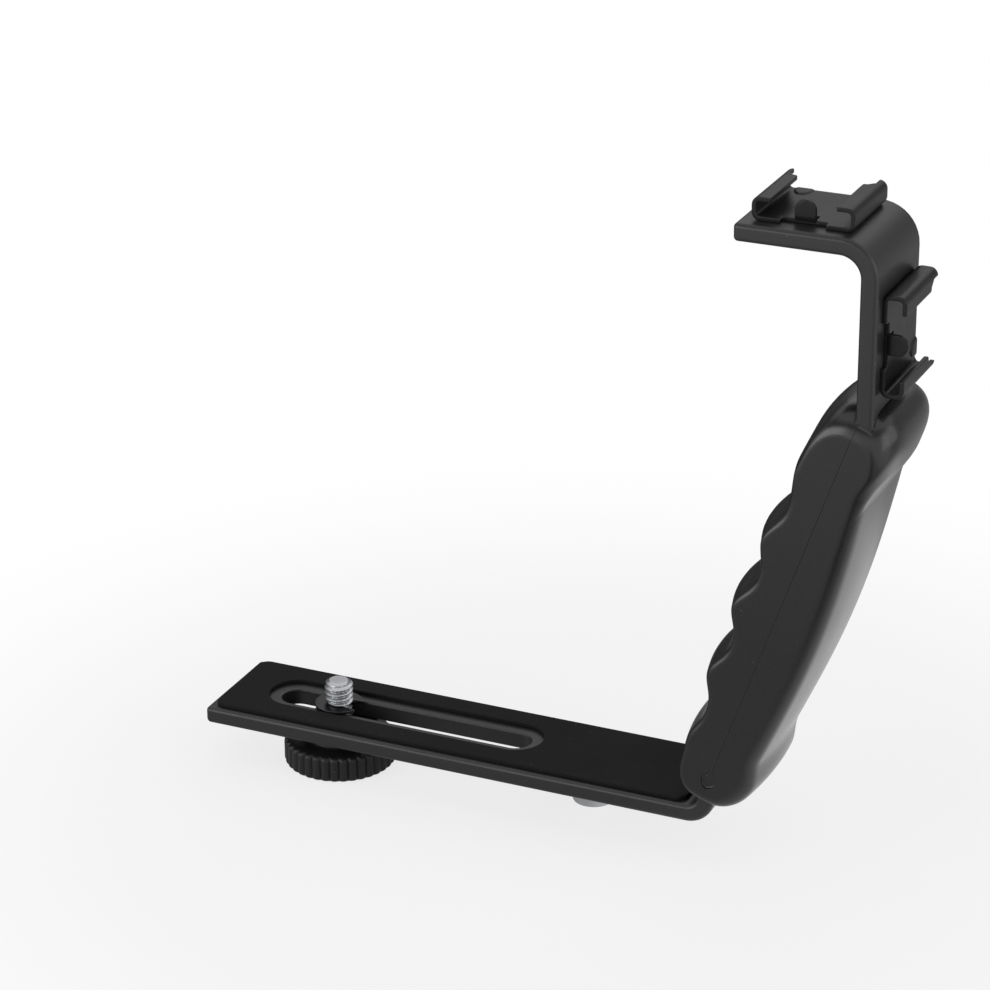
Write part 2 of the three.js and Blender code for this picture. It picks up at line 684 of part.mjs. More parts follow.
// Closes a stack of equal outlines. Each runs out along one side and back along the other with
// points in pairs, so its flat ends are rungs between the pairs.
function pairedSolid(places, rings, count) {
  const index = [];
  const last = (rings - 1) * count;
  for (let i = 0; i < count / 2; i += 1) {
    const [p, q, r, t] = [i, i + 1, count - i - 1, (count - i) % count];
    index.push(p, r, q, p, t, r, last + p, last + q, last + r, last + p, last + r, last + t);
  }
  for (let ring = 0; ring < rings - 1; ring += 1) {
    for (let i = 0; i < count; i += 1) {
      const [a, b] = [ring * count + i, ring * count + (i + 1) % count];
      index.push(a, b, b + count, a, b + count, a + count);
    }
  }
  const geometry = new THREE.BufferGeometry();
  geometry.setAttribute('position', new THREE.BufferAttribute(new Float32Array(places), 3));
  geometry.setIndex(index);
  return solid(geometry);
}

// A block in the grip's own frame: along its axis, across, and out from the parting plane.
function gripBlock(along, across, out) {
  const corners = [
    gripPoint(along[0], out[0]), gripPoint(along[1], out[0]), gripPoint(along[1], out[1]), gripPoint(along[0], out[1]),
  ];
  return slab(new THREE.Shape(corners), across[1] - across[0], (across[0] + across[1]) / 2);
}

function makeGripShells() {
  const outer = gripBody(0, { side: 32, end: 5, edge: 2, across: 8 });
  const inner = gripBody(gripWall, { side: 16, end: 2, edge: 1, across: 4 });
  const past = gripWidth;
  const halfSpace = (low, high) => gripBlock([-past, gripLength + past], [-past, past], [low, high]);
  const kept = screwAlong.flatMap((along, i) => [
    onLean(rod(screwBossDiameter / 2, -past, past, smallRoundSteps), along),
    gripBlock([screwRises[i] - ribThickness / 2, screwRises[i] + ribThickness / 2], [-past, past], [-past, past]),
  ]);
  const hollow = cut(inner, kept);
  const channelWidth = barWidth + 2 * barClearance;
  const channel = slab(barOutline(barClearance), channelWidth);
  const draw = [-channelDraw * Math.cos(gripLean), 0, channelDraw * Math.sin(gripLean)];
  const lap = slab(barOutline(barClearance), channelWidth - 2 * partingGap).translate(draw);
  const seat = barThickness / 2 + barClearance + screwLand;
  const tip = seat - screwLength;
  const dimple = new THREE.Shape();
  const dimplePlace = gripPoint(dimpleRise, 0);
  dimple.absellipse(dimplePlace.x, dimplePlace.y, dimpleWidth / 2, dimpleLength / 2, 0, 2 * Math.PI, false, -gripLean);
  const dimpleTool = slab(dimple, 2 * dimpleDepth, -gripWidth / 2);
  const screwTools = screwAlong.flatMap((along) => [
    onLean(rod(screwHole / 2, 0, past, smallRoundSteps), along),
    onLean(rod(screwHeadDiameter / 2 + screwHeadClearance, seat, past, smallRoundSteps), along),
  ]);
  const pilotTools = screwAlong.map((along) => (
    onLean(rod(screwDiameter / 2 + fitClearance, tip - screwHeadClearance, 0, smallRoundSteps), along)
  ));
  const fingerPart = outer.intersect(halfSpace(partingGap / 2, past).add(lap));
  const palmPart = outer.intersect(halfSpace(-past, -partingGap / 2));
  return {
    finger: cut(fingerPart, [hollow, channel, dimpleTool, ...screwTools]),
    palm: cut(palmPart, [hollow, channel, channel.translate(draw), dimpleTool, ...pilotTools]),
  };
}

// Pan-head screw with a cross recess, its axis on Z and the bar's middle at Z = 0.
function makeGripScrew() {
  const seat = barThickness / 2 + barClearance + screwLand;
  const top = seat + screwHeadHeight;
  const head = screwHeadDiameter / 2;
  const shank = screwDiameter / 2;
  const body = turned([
    [0, seat - screwLength], [shank / 2, seat - screwLength], [shank, seat - screwLength + shank / 2],
    [shank, seat], [head, seat], [head, seat + screwHeadHeight / 2], [head - screwHeadHeight / 3, top], [0, top],
  ], smallRoundSteps);
  const span = screwDriveSpan / 2;
  const half = screwDrive / 2;
  const depth = [top - screwDriveDepth, top + cutOverrun];
  return cut(body, [block([-span, span], [-half, half], depth), block([-half, half], [-span, span], depth)]);
}

// Assembly.
const bracket = new THREE.Group();

function addPiece(parent, name, body, material) {
  const mesh = new THREE.Mesh(surface(body), material);
  mesh.name = name;
  parent.add(mesh);
  return mesh;
}

addPiece(bracket, 'bracket_bar', makeBar(), coating);
addPiece(bracket, 'seat_pad', makePad(), rubber);
addPiece(bracket, 'tripod_insert', makeInsert(), zinc);

const shells = makeGripShells();
addPiece(bracket, 'grip_finger_shell', shells.finger, moulding);
addPiece(bracket, 'grip_palm_shell', shells.palm, moulding);
['lower', 'middle', 'upper'].forEach((level, i) => {
  addPiece(bracket, `grip_screw_${level}`, onLean(makeGripScrew(), screwAlong[i]), blackSteel);
});

const shoe = makeShoe();
const rivet = makeRivet();
const shoePlaces = [
  { name: 'top_shoe', x: armEnd + topShoeInset, z: armTop, turn: 0 },
  { name: 'side_shoe', x: uprightFace, z: sideShoeHeight, turn: Math.PI / 2 },
];
for (const place of shoePlaces) {
  const group = new THREE.Group();
  group.position.set(place.x, 0, place.z);
  group.rotation.y = place.turn;
  addPiece(group, place.name, shoe, pressing);
  addPiece(group, `${place.name}_rivet_middle`, rivet, blackSteel);
  addPiece(group, `${place.name}_rivet_rear`, rivet, blackSteel).position.y = shoeRivetPitch;
  bracket.add(group);
}

const boltGroup = new THREE.Group();
boltGroup.position.x = boltX;
addPiece(boltGroup, 'bolt_washer', makeWasher(), nylon);
addPiece(boltGroup, 'seat_knob', makeKnob(), moulding);
addPiece(boltGroup, 'seat_bolt', makeBolt(), zinc);
addPiece(boltGroup, 'bolt_clip', makeClip(), blackSteel);
bracket.add(boltGroup);

export default bracket;
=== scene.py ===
# %% [markdown]
# # A camera flash bracket
#
# The bracket is one flat steel bar bent into a C. Its base has a long slot with a
# sliding knob bolt, a moulded grip closes round its leaning stretch, and two
# pressed cold shoes sit on its arm and on its upright.
#
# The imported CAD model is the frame: it says where each piece is and how big it
# is. Every piece is drawn again here with the rounded edges, threads, ribs and
# finishes that the eye expects, and takes the place of its CAD node.

import math

import bmesh
import bpy
from mathutils import Matrix, Vector


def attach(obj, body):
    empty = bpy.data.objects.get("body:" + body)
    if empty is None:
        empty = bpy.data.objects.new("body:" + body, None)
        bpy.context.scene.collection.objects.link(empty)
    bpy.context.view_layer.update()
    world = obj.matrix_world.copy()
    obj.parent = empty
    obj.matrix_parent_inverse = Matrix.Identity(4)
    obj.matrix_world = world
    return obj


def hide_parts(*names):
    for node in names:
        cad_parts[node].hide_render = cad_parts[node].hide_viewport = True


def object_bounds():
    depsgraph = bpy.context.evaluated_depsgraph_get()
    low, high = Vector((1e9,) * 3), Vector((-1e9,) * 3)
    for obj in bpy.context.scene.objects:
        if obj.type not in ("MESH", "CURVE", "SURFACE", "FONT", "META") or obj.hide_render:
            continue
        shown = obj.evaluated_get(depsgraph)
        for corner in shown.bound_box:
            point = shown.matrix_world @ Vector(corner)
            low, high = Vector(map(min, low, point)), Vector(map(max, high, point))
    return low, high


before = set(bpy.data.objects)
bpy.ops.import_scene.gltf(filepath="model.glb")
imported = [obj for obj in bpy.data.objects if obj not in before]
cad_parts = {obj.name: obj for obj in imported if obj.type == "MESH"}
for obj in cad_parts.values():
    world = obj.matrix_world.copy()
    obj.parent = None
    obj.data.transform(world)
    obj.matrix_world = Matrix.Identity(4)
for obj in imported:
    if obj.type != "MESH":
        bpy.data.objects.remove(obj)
cad_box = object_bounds()
print("CAD box in mm:", [[round(1000 * value, 1) for value in corner] for corner in cad_box])

# %% [markdown]
# ## The camera
#
# The view looks at the bracket from its user's side, a little from the right and
# from above. A long lens keeps the perspective as flat as it is in the
# photograph. The turn, the tilt and the slight roll are three plain rotations,
# which is easier to adjust later than aiming the camera at a target.

# %% Camera
mm = 0.001
sensor_width, focal_pixels, picture_pixels = 36, 3479, 990
view_place = Vector((259.45, -615.75, 360.16)) * mm
view_turn, view_tilt, view_roll = 24.64, 90 - 23.35, -0.48

camera_data = bpy.data.cameras.new("view_camera")
camera_data.sensor_fit = "HORIZONTAL"
camera_data.sensor_width = sensor_width
camera_data.lens = sensor_width * focal_pixels / picture_pixels
camera_data.clip_start = 0.05
camera_data.clip_end = 20
camera = bpy.data.objects.new("view_camera", camera_data)
camera.matrix_world = (
    Matrix.Translation(view_place)
    @ Matrix.Rotation(math.radians(view_turn), 4, "Z")
    @ Matrix.Rotation(math.radians(view_tilt), 4, "X")
    @ Matrix.Rotation(math.radians(view_roll), 4, "Z")
)
bpy.context.scene.collection.objects.link(camera)
bpy.context.scene.camera = camera
print("lens in mm:", round(camera_data.lens, 1))

# %% [markdown]
# ## From a drawing to a piece
#
# All shapes are drawn in millimetres, as on a workshop drawing, and scaled to
# metres once, when the mesh is handed over. Smooth shading would smear the light
# across a flat face next to a tiny rounded edge. So edges sharper than a given
# angle are marked sharp, and a Weighted Normal modifier lets the large faces
# decide how the light falls on them.

# %% Hand over a piece
dressed = {}
weld_distance = 0.0008


def hand_over(name, bm, body, node, sharp_angle=40):
    """Makes a finished drawing a piece that rides on a body and stands for a CAD node."""
    bmesh.ops.remove_doubles(bm, verts=bm.verts, dist=weld_distance)
    bmesh.ops.recalc_face_normals(bm, faces=bm.faces)
    bmesh.ops.scale(bm, vec=(mm, mm, mm), verts=bm.verts)
    mesh = bpy.data.meshes.new(name)
    bm.to_mesh(mesh)
    bm.free()
    mesh.shade_smooth()
    mesh.set_sharp_from_angle(angle=math.radians(sharp_angle))
    piece = bpy.data.objects.new(name, mesh)
    bpy.context.scene.collection.objects.link(piece)
    even = piece.modifiers.new("even_light", "WEIGHTED_NORMAL")
    even.keep_sharp = True
    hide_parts(node)
    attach(piece, body)
    dressed[name] = piece
    low, high = (Vector(corner) / mm for corner in bounds_of(mesh))
    size = high - low
    print(f"{name}: {len(mesh.polygons)} faces, {size.x:.1f} x {size.y:.1f} x {size.z:.1f} mm")
    return piece


def bounds_of(mesh):
    """The lowest and the highest corner of a mesh."""
    places = [vertex.co for vertex in mesh.vertices]
    lowest = [min(place[axis] for place in places) for axis in range(3)]
    highest = [max(place[axis] for place in places) for axis in range(3)]
    return lowest, highest


print("points closer than this are welded, in mm:", weld_distance)

# %% [markdown]
# ## Sheet metal: a flat blank with rounded edges
#
# The bar, the shoes and the rubber pad are all cut from flat stock. A Bevel
# modifier could round their edges, but it struggles where short edges meet. Here
# the outline and its holes are drawn as loops, and each loop is stacked a few
# times while it shrinks along a quarter circle. That gives an even rounding, with
# the flat faces filled in last.
#
# First each point of a loop needs a direction to shrink in. Material lies on the
# left of every loop, so a hole runs clockwise. At a corner the normals of both
# sides are mitred, like a picture frame, so that the rim stays equally wide.

# %% Outline normals
def away_from_material(loop):
    """The mitred normals of a loop, which point away from its material."""
    normals = []
    count = len(loop)
    for i, point in enumerate(loop):
        before = (Vector(point) - Vector(loop[i - 1])).normalized()
        after = (Vector(loop[(i + 1) % count]) - Vector(point)).normalized()
        right_before = Vector((before.y, -before.x))
        right_after = Vector((after.y, -after.x))
        normals.append((right_before + right_after) / (1 + right_before.dot(right_after)))
    return normals


square = [(0, 0), (1, 0), (1, 1), (0, 1)]
print("mitred normal at the corner of a square:", tuple(away_from_material(square)[0]))

# %% [markdown]
# The blank is a stack of these loops from its lower face to its upper one, with a
# band of quads between neighbours. Every point has its twin in the next loop, so
# the quads are made directly, and Fill Triangles closes the flat faces with their
# holes left open.

# %% Flat blank
def flat_blank(loops, thickness, edge, steps=4, hole_edge=None):
    """A sheet in X and Y with its middle at zero: an outline, then its holes, with their own edge."""
    bm = bmesh.new()
    half = thickness / 2
    angles = [math.pi / 2 * step / steps for step in range(steps + 1)]
    rims = ([], [])
    for loop in loops:
        rounding = hole_edge if hole_edge and loop is not loops[0] else edge
        levels = [(rounding * (1 - math.sin(a)), -half + rounding * (1 - math.cos(a))) for a in angles]
        levels += [(inset, -height) for inset, height in reversed(levels)]
        normals = away_from_material(loop)
        stack = []
        for inset, height in levels:
            ring = []
            for point, normal in zip(loop, normals):
                place = Vector(point) - normal * inset
                ring.append(bm.verts.new((place.x, place.y, height)))
            stack.append(ring)
        for lower, upper in zip(stack, stack[1:]):
            for i in range(len(loop)):
                j = (i + 1) % len(loop)
                bm.faces.new((lower[i], lower[j], upper[j], upper[i]))
        for rim, ring in zip(rims, (stack[0], stack[-1])):
            for i in range(len(loop)):
                j = (i + 1) % len(loop)
                rim.append(bm.edges.get((ring[i], ring[j])))
    for rim in rims:
        bmesh.ops.triangle_fill(bm, use_beauty=True, edges=rim)
    return bm


sample = flat_blank([square], 0.2, 0.05)
print("faces of a small square blank:", len(sample.faces))
sample.free()

# %% [markdown]
# The outlines themselves are short lists of corners, each rounded with its own
# radius. Working the arc out from the two edges that meet at the corner means
# that a drawing needs nothing but its corners.

# %% Rounded outlines
def rounded(corners, steps=6):
    """A loop from corners (x, y, radius), each replaced by an arc."""
    loop = []
    count = len(corners)
    for i, (x, y, radius) in enumerate(corners):
        corner = Vector((x, y))
        before = (corner - Vector(corners[i - 1][:2])).normalized()
        after = (Vector(corners[(i + 1) % count][:2]) - corner).normalized()
        turn = math.atan2(before.cross(after), before.dot(after))
        if radius == 0 or abs(turn) < 0.01:
            loop.append((x, y))
            continue
        start = corner - before * radius * math.tan(abs(turn) / 2)
        side = math.copysign(1, turn)
        centre = start + Vector((-before.y, before.x)) * side * radius
        for step in range(steps + 1):
            arm = Matrix.Rotation(turn * step / steps, 2) @ (start - centre)
            loop.append(tuple(centre + arm))
    return loop


def round_hole(x, y, radius, steps=48):
    angles = [-2 * math.pi * step / steps for step in range(steps)]
    return [(x + radius * math.cos(a), y + radius * math.sin(a)) for a in angles]


def slot_hole(start, end, width, steps=24):
    """A long hole along X, from one end to the other."""
    radius = width / 2
    angles = [math.pi * step / steps for step in range(steps + 1)]
    left = [(start + radius - radius * math.sin(a), -radius * math.cos(a)) for a in angles]
    right = [(end - radius + radius * math.sin(a), radius * math.cos(a)) for a in angles]
    return left + right


print("points round a slot:", len(slot_hole(0, 30, 6)))

# %% [markdown]
# ## Bending the blank
#
# A press bends the flat blank along straight lines. The same is done here: the
# route of the bent strip is a list of straight runs and arcs, the blank is sliced
# where it is going to bend, and each point is carried from its distance along the
# blank to its place on the route. Lengths along the middle of the sheet stay true,
# just as they do in the workshop.

# %% Bend route
def bend_route(corners, inner_radii, thickness):
    """Straight runs and arcs through the corners: (start, length, point, heading, turn, radius)."""
    corners = [Vector(corner) for corner in corners]
    headings = [(b - a).normalized() for a, b in zip(corners, corners[1:])]
    route, distance, point = [], 0.0, corners[0]
    for i, heading in enumerate(headings):
        setback, turn, radius = 0.0, 0.0, 0.0
        if i < len(inner_radii):
            following = headings[i + 1]
            turn = math.atan2(heading.cross(following), heading.dot(following))
            radius = inner_radii[i] + thickness / 2
            setback = radius * math.tan(abs(turn) / 2)
        target = corners[i + 1] - heading * setback
        length = (target - point).length
        route.append((distance, length, point, heading, 0.0, 0.0))
        distance += length
        if turn:
            route.append((distance, radius * abs(turn), target, heading, turn, radius))
            distance += radius * abs(turn)
            point = corners[i + 1] + headings[i + 1] * setback
    return route


def route_length(route):
    return route[-1][0] + route[-1][1]


angle_strip = bend_route([(0, 0), (20, 0), (20, 20)], [3], 2)
print("flat length of an angle with 20 mm legs:", round(route_length(angle_strip), 1), "mm")

# %% [markdown]
# A point of the blank has a distance along it and a height above its middle. On a
# straight run both carry over as they are, and on a bend the point turns about
# the centre of the bend.

# %% Place on a route
def on_route(route, distance, height):
    """The place on the route at a distance along it, and a height to its left."""
    start, length, point, heading, turn, radius = [
        run for run in route if run[0] <= distance + 1e-6 or run is route[0]
    ][-1]
    left = Vector((-heading.y, heading.x))
    if not turn:
        return point + heading * (distance - start) + left * height
    side = math.copysign(1, turn)
    centre = point + left * side * radius
    turned_left = Matrix.Rotation(turn * (distance - start) / length, 2) @ left
    return centre + turned_left * (height - side * radius)


tip = on_route(angle_strip, route_length(angle_strip), 0)
print("the tip of that angle lands at:", [round(value, 3) for value in tip])

# %% [markdown]
# A face that spans a bend would cut across it, so the blank is first sliced there
# by Bisect. A Curve modifier bends a mesh along a path too, but it would need the
# same slices, and a curve drawn with exact arcs besides.

# %% Bend a blank
def bend(bm, route, place, steps=10):
    """Slices a blank along its bends and carries it to the route."""
    for start, length, _, _, turn, _ in route:
        if not turn:
            continue
        for step in range(steps + 1):
            everything = bm.verts[:] + bm.edges[:] + bm.faces[:]
            where = (start + length * step / steps, 0, 0)
            bmesh.ops.bisect_plane(bm, geom=everything, dist=1e-4, plane_co=where, plane_no=(1, 0, 0))
    for vertex in bm.verts:
        at = on_route(route, vertex.co.x, vertex.co.z)
        vertex.co = place(at, vertex.co.y)
    return bm


# %% [markdown]
# ## The bar
#
# One strip, 26.2 by 3.8 mm, makes the base, the leaning stretch inside the grip,
# the upright and the arm. Its long edges are well rounded, because the strip is
# rolled and then powder coated. The slot for the bolt and the hole for the tripod
# socket are punched in the blank before it is bent, and keep a finer edge.

# %% Bar
bar_width, bar_thickness = 26.2, 3.8
bar_edge, punched_edge, bar_corner = 0.95, 0.4, 1.0
base_middle = 8.3
base_tail, base_reach = 88.4, 29.3
upright_x, upright_foot = 62.497, 95.7
arm_z, arm_end = 138.4, 34.297
bar_corners = [(-base_tail, base_middle), (base_reach, base_middle), (upright_x, upright_foot),
               (upright_x, arm_z), (arm_end, arm_z)]
bend_radii = [2.5, 6, 4.5]
bar_route = bend_route(bar_corners, bend_radii, bar_thickness)
bar_length = route_length(bar_route)


def beside(at, across):
    """A point of the X and Z plane, moved sideways."""
    return at.x, across, at.y


def strip_outline(length, width, radius):
    half = width / 2
    return rounded([(0, -half, radius), (length, -half, radius), (length, half, radius), (0, half, radius)])


slot_start, slot_end, slot_width = 12.9, 73.3, 6.95
insert_neck, insert_play = 7.9, 0.02
bar_blank = flat_blank([
    strip_outline(bar_length, bar_width, bar_corner),
    slot_hole(slot_start, slot_end, slot_width),
    round_hole(base_tail, 0, insert_neck / 2 + insert_play),
], bar_thickness, bar_edge, 6, hole_edge=punched_edge)
bend(bar_blank, bar_route, beside)
hand_over("bent_bar", bar_blank, "bracket", "bracket_bar")
print("length of the flat bar in mm:", round(bar_length, 1))

# %% [markdown]
# ## The rubber pad
#
# A thin sheet of rubber on the base keeps what is bolted on from turning and from
# being scratched. It reaches to the bend, and its own slot is wider than the
# bar's, so the bolt's clip can slide in it.

# %% Pad
pad_thickness, pad_inset, pad_slot = 1.0, 1.4, 12.6
pad_corner, pad_edge, pad_end_gap = 2.5, 0.25, 0.6
pad_start = -base_tail + pad_inset
pad_end = bar_route[0][1] - base_tail - pad_end_gap
base_top = base_middle + bar_thickness / 2
pad_half = bar_width / 2 - pad_inset
pad_outline = rounded([(pad_start, -pad_half, pad_corner), (pad_end, -pad_half, pad_corner),
                       (pad_end, pad_half, pad_corner), (pad_start, pad_half, pad_corner)])
slot_middle_start = slot_start + slot_width / 2 - base_tail
slot_middle_end = slot_end - slot_width / 2 - base_tail
pad_slot_hole = slot_hole(slot_middle_start - pad_slot / 2, slot_middle_end + pad_slot / 2, pad_slot)
pad = flat_blank([pad_outline, pad_slot_hole], pad_thickness, pad_edge)
bmesh.ops.translate(pad, vec=(0, 0, base_top + pad_thickness / 2), verts=pad.verts)
hand_over("rubber_pad", pad, "bracket", "seat_pad")

# %% [markdown]
# ## Turned and threaded pieces
#
# The socket, the bolt, the knob, the washer and the rivets come off a lathe or
# out of a round mould. A Screw modifier could spin a profile, but it makes only
# plain round shapes. This helper stacks rings instead, and a radius may be a
# number or a function of the angle and the height. So the same few lines make
# threads, ribs and hexagons.

# %% Stack rings
def stack_rings(profile, around, closed=False):
    """Rings up a profile of (radius, height). A closed profile joins its last ring to its first."""
    bm = bmesh.new()
    rings = []
    for radius, height in profile:
        ring = []
        for step in range(around):
            angle = 2 * math.pi * step / around
            reach = radius(angle, height) if callable(radius) else radius
            ring.append(bm.verts.new((reach * math.cos(angle), reach * math.sin(angle), height)))
        rings.append(ring)
    pairs = list(zip(rings, rings[1:])) + ([(rings[-1], rings[0])] if closed else [])
    for lower, upper in pairs:
        for i in range(around):
            j = (i + 1) % around
            bm.faces.new((lower[i], lower[j], upper[j], upper[i]))
    if not closed:
        bm.faces.new(list(reversed(rings[0])))
        bm.faces.new(rings[-1])
    return bm


def soft_profile(corners, steps=4):
    """A profile whose corners (radius, height, rounding) are replaced by arcs. Both ends stay."""
    points = []
    for i, (x, y, rounding) in enumerate(corners):
        if rounding == 0 or i in (0, len(corners) - 1):
            points.append((x, y))
            continue
        corner = Vector((x, y))
        before = (Vector(corners[i - 1][:2]) - corner).normalized()
        after = (Vector(corners[i + 1][:2]) - corner).normalized()
        for step in range(steps + 1):
            t = step / steps
            arc = corner + before * rounding * (1 - t) ** 2 + after * rounding * t ** 2
            points.append(tuple(arc))
    return points


print("points of a profile with one soft corner:", len(soft_profile([(0, 0, 0), (5, 0, 1), (5, 5, 0)])))

# %% [markdown]
# ## The tripod socket
#
# A steel insert is pushed into the base from below and riveted over. Its bore
# takes the quarter inch screw of a tripod, twenty threads to the inch. The thread
# is a real helix: the wall of the bore moves in and out with the angle and the
# height, like a triangle wave.

# %% Tripod socket
thread_major, thread_pitch, thread_depth = 6.35, 1.27, 0.69


def triangle_wave(phase):
    return abs(2 * (phase - math.floor(phase)) - 1)


def bore_thread(angle, height):
    """The socket's bore: full width at its mouth, threaded further in."""
    wave = triangle_wave(height / thread_pitch - angle / (2 * math.pi))
    crest = min(1.0, max(0.0, wave * 1.5 - 0.2))
    return thread_major / 2 - thread_depth * crest * min(1.0, height / thread_pitch)


flange_radius, neck_radius, mouth_rim = 4.6, insert_neck / 2, 0.35
flange_top = base_middle - bar_thickness / 2
skin = soft_profile([
    (thread_major / 2 + mouth_rim, 0, 0), (flange_radius, 0, 0.45), (flange_radius, flange_top, 0),
    (neck_radius, flange_top, 0), (neck_radius, base_top, 0),
])
bore_rings = 80
bore = [(bore_thread, base_top * (1 - step / bore_rings)) for step in range(bore_rings)]
socket = stack_rings(skin + bore, 56, closed=True)
hand_over("threaded_socket", socket, "bracket", "tripod_insert", 50)

# %% [markdown]
# ## The cold shoes
#
# A shoe is pressed from sheet of just under 1 mm: a floor, two walls, and two
# lips that hold a flash by its foot. Its blank is drawn flat, with the notch for
# the stop tab at the front and the cut-back lips at the rear, and bent up over
# four corners. Both shoes are the same pressing, so one function draws them.

# %% Shoe blank
shoe_width, shoe_length, shoe_height, shoe_sheet = 21.3, 19.6, 4.9, 0.95
shoe_lip, shoe_bend = 3.9, 0.75
wall_middle = shoe_width / 2 - shoe_sheet / 2
floor_middle = shoe_sheet / 2
lip_middle = shoe_height - shoe_sheet / 2
lip_edge = shoe_width / 2 - shoe_lip
shoe_route = bend_route([(-lip_edge, lip_middle), (-wall_middle, lip_middle), (-wall_middle, floor_middle),
                         (wall_middle, floor_middle), (wall_middle, lip_middle), (lip_edge, lip_middle)],
                        [shoe_bend] * 4, shoe_sheet)
shoe_span = route_length(shoe_route)


def shoe_outline():
    """The blank in its unrolled width and its length: front at the bottom, entry end at the top."""
    front, rear, middle = -shoe_length / 2, shoe_length / 2, shoe_span / 2
    narrow_lip, narrow_start, lip_end = shoe_lip - 1.75, rear - 2.5, rear - 3.8
    floor_left = middle - (shoe_width / 2 - shoe_sheet - shoe_bend)
    notch_left, notch_end = middle - 9.3 / 2, front + 1.7
    left = [
        (floor_left, rear - 0.6, 0.2), (floor_left, rear, 0.2), (narrow_lip, rear, 0.25),
        (narrow_lip, narrow_start, 0.2), (0.9, lip_end, 0.3), (0, lip_end, 0.6), (0, front, 0.3),
        (notch_left, front, 0.3), (notch_left, notch_end, 0.4),
    ]
    right = [(shoe_span - x, y, radius) for x, y, radius in reversed(left)]
    return rounded(left + right)


print("flat width of a shoe in mm:", round(shoe_span, 1), "points in its outline:", len(shoe_outline()))

# %% [markdown]
# The stop tab is a tongue of the floor, turned up at right angles, with a round
# end. It could be cut free in the shoe's own blank, but the bend helper bends a
# whole blank. So the tab gets a small blank of its own, with its root in the floor.

# %% Stop tab
def stop_tab():
    """A tongue with a round end, upright at the front of the shoe."""
    width, root, face, top = 4.4, -6.675, -8.1, 5.1
    route = bend_route([(root + 1.5, floor_middle), (face, floor_middle), (face, top)],
                       [shoe_bend], shoe_sheet)
    length, half = route_length(route), width / 2
    blank = flat_blank([rounded([(0, -half, 0.1), (length, -half, half - 0.02),
                                 (length, half, half - 0.02), (0, half, 0.1)], 12)],
                       shoe_sheet, 0.18, 3)
    return bend(blank, route, lambda at, across: (-across, at.x, at.y), 8)


# %% [markdown]
# Two half-moon pips are pressed up out of the floor at the entry end. They grip
# the foot of the flash. Each is a low dome over half an ellipse, cut off square
# at the edge of the floor.

# %% Pips
def floor_pip(side):
    """A low half-moon dome on the floor, left or right of the middle."""
    bm = bmesh.new()
    centre = Vector((side * 6.3, shoe_length / 2 - 0.62))
    half_width, depth, height = 2.1, 3.6, 0.38
    rings, around = 8, 28
    rows = []
    for ring in range(rings + 1):
        share = 1 - ring / rings
        rise = height * min(1.0, (1 - share ** 2) * 1.9) ** 0.7
        row = []
        for step in range(around + 1):
            angle = math.pi * step / around
            row.append(bm.verts.new((
                centre.x + half_width * share * math.cos(angle),
                centre.y - depth * share * math.sin(angle),
                shoe_sheet - 0.02 + rise,
            )))
        rows.append(row)
    for outer_row, inner_row in zip(rows, rows[1:]):
        for i in range(around):
            bm.faces.new((outer_row[i], outer_row[i + 1], inner_row[i + 1], inner_row[i]))
    buried = [bm.verts.new((v.co.x, v.co.y, shoe_sheet - 0.4)) for v in rows[0]]
    for i in range(around):
        bm.faces.new((rows[0][i + 1], rows[0][i], buried[i], buried[i + 1]))
    bm.faces.new(list(reversed(buried)))
    edge = [row[0] for row in rows] + [row[-1] for row in reversed(rows[:-1])]
    bm.faces.new(edge + [buried[-1], buried[0]])
    return bm


# %% [markdown]
# The shoe's parts are one pressing, so they are gathered in one mesh, and then
# moved to where they are riveted: flat on the arm, and on edge against the
# upright. Instances would save memory, but each shoe takes the place of its own
# CAD node.

# %% Shoes
def gather(parts):
    """One drawing from several."""
    whole = bmesh.new()
    for part in parts:
        mesh = bpy.data.meshes.new("part")
        part.to_mesh(mesh)
        part.free()
        whole.from_mesh(mesh)
        bpy.data.meshes.remove(mesh)
    return whole


def cold_shoe():
    """A shoe with its floor on Z = 0 and its open end towards +Y."""
    body = flat_blank([shoe_outline()], shoe_sheet, 0.2, 3)
    bend(body, shoe_route, beside, 8)
    return gather([body, stop_tab(), floor_pip(-1), floor_pip(1)])


arm_top = arm_z + bar_thickness / 2
upright_face = upright_x + bar_thickness / 2
top_shoe_inset, side_shoe_drop = 13.25, 20.4
upended = Matrix.Rotation(math.pi / 2, 4, "Y")
shoe_places = {
    "top": Matrix.Translation((arm_end + top_shoe_inset, 0, arm_top)),
    "side": Matrix.Translation((upright_face, 0, arm_z - side_shoe_drop)) @ upended,
}
for name, place in shoe_places.items():
    shoe = cold_shoe()
    bmesh.ops.transform(shoe, matrix=place, verts=shoe.verts)
    hand_over(f"pressed_{name}_shoe", shoe, "bracket", f"{name}_shoe")

# %% [markdown]
# ## Rivets
#
# Two rivets hold each shoe. Their heads are sunk flush in the floor, so that a
# flash slides over them, and their tails are headed over on the far side of the
# bar. The photograph doesn't show them, so they keep to the plainest real form:
# a shallow domed tail, painted with the rest.

# %% Rivets
rivet_spacing = 5.6


def rivet():
    """A flush head in the floor, a shank through the bar, and a low dome below it."""
    tail, flush = -bar_thickness, shoe_sheet + 0.01
    shank, dome, head = 1.5, 2.5, 2.3
    profile = soft_profile([
        (0.02, tail - 1.3, 0), (1.7, tail - 1.25, 0.6), (dome, tail - 0.5, 0.35), (dome, tail, 0),
        (shank, tail, 0), (shank, 0.2, 0), (2.24, shoe_sheet - 0.1, 0), (head, flush, 0.08),
        (2.1, flush, 0), (0.02, flush, 0),
    ])
    return stack_rings(profile, 40)


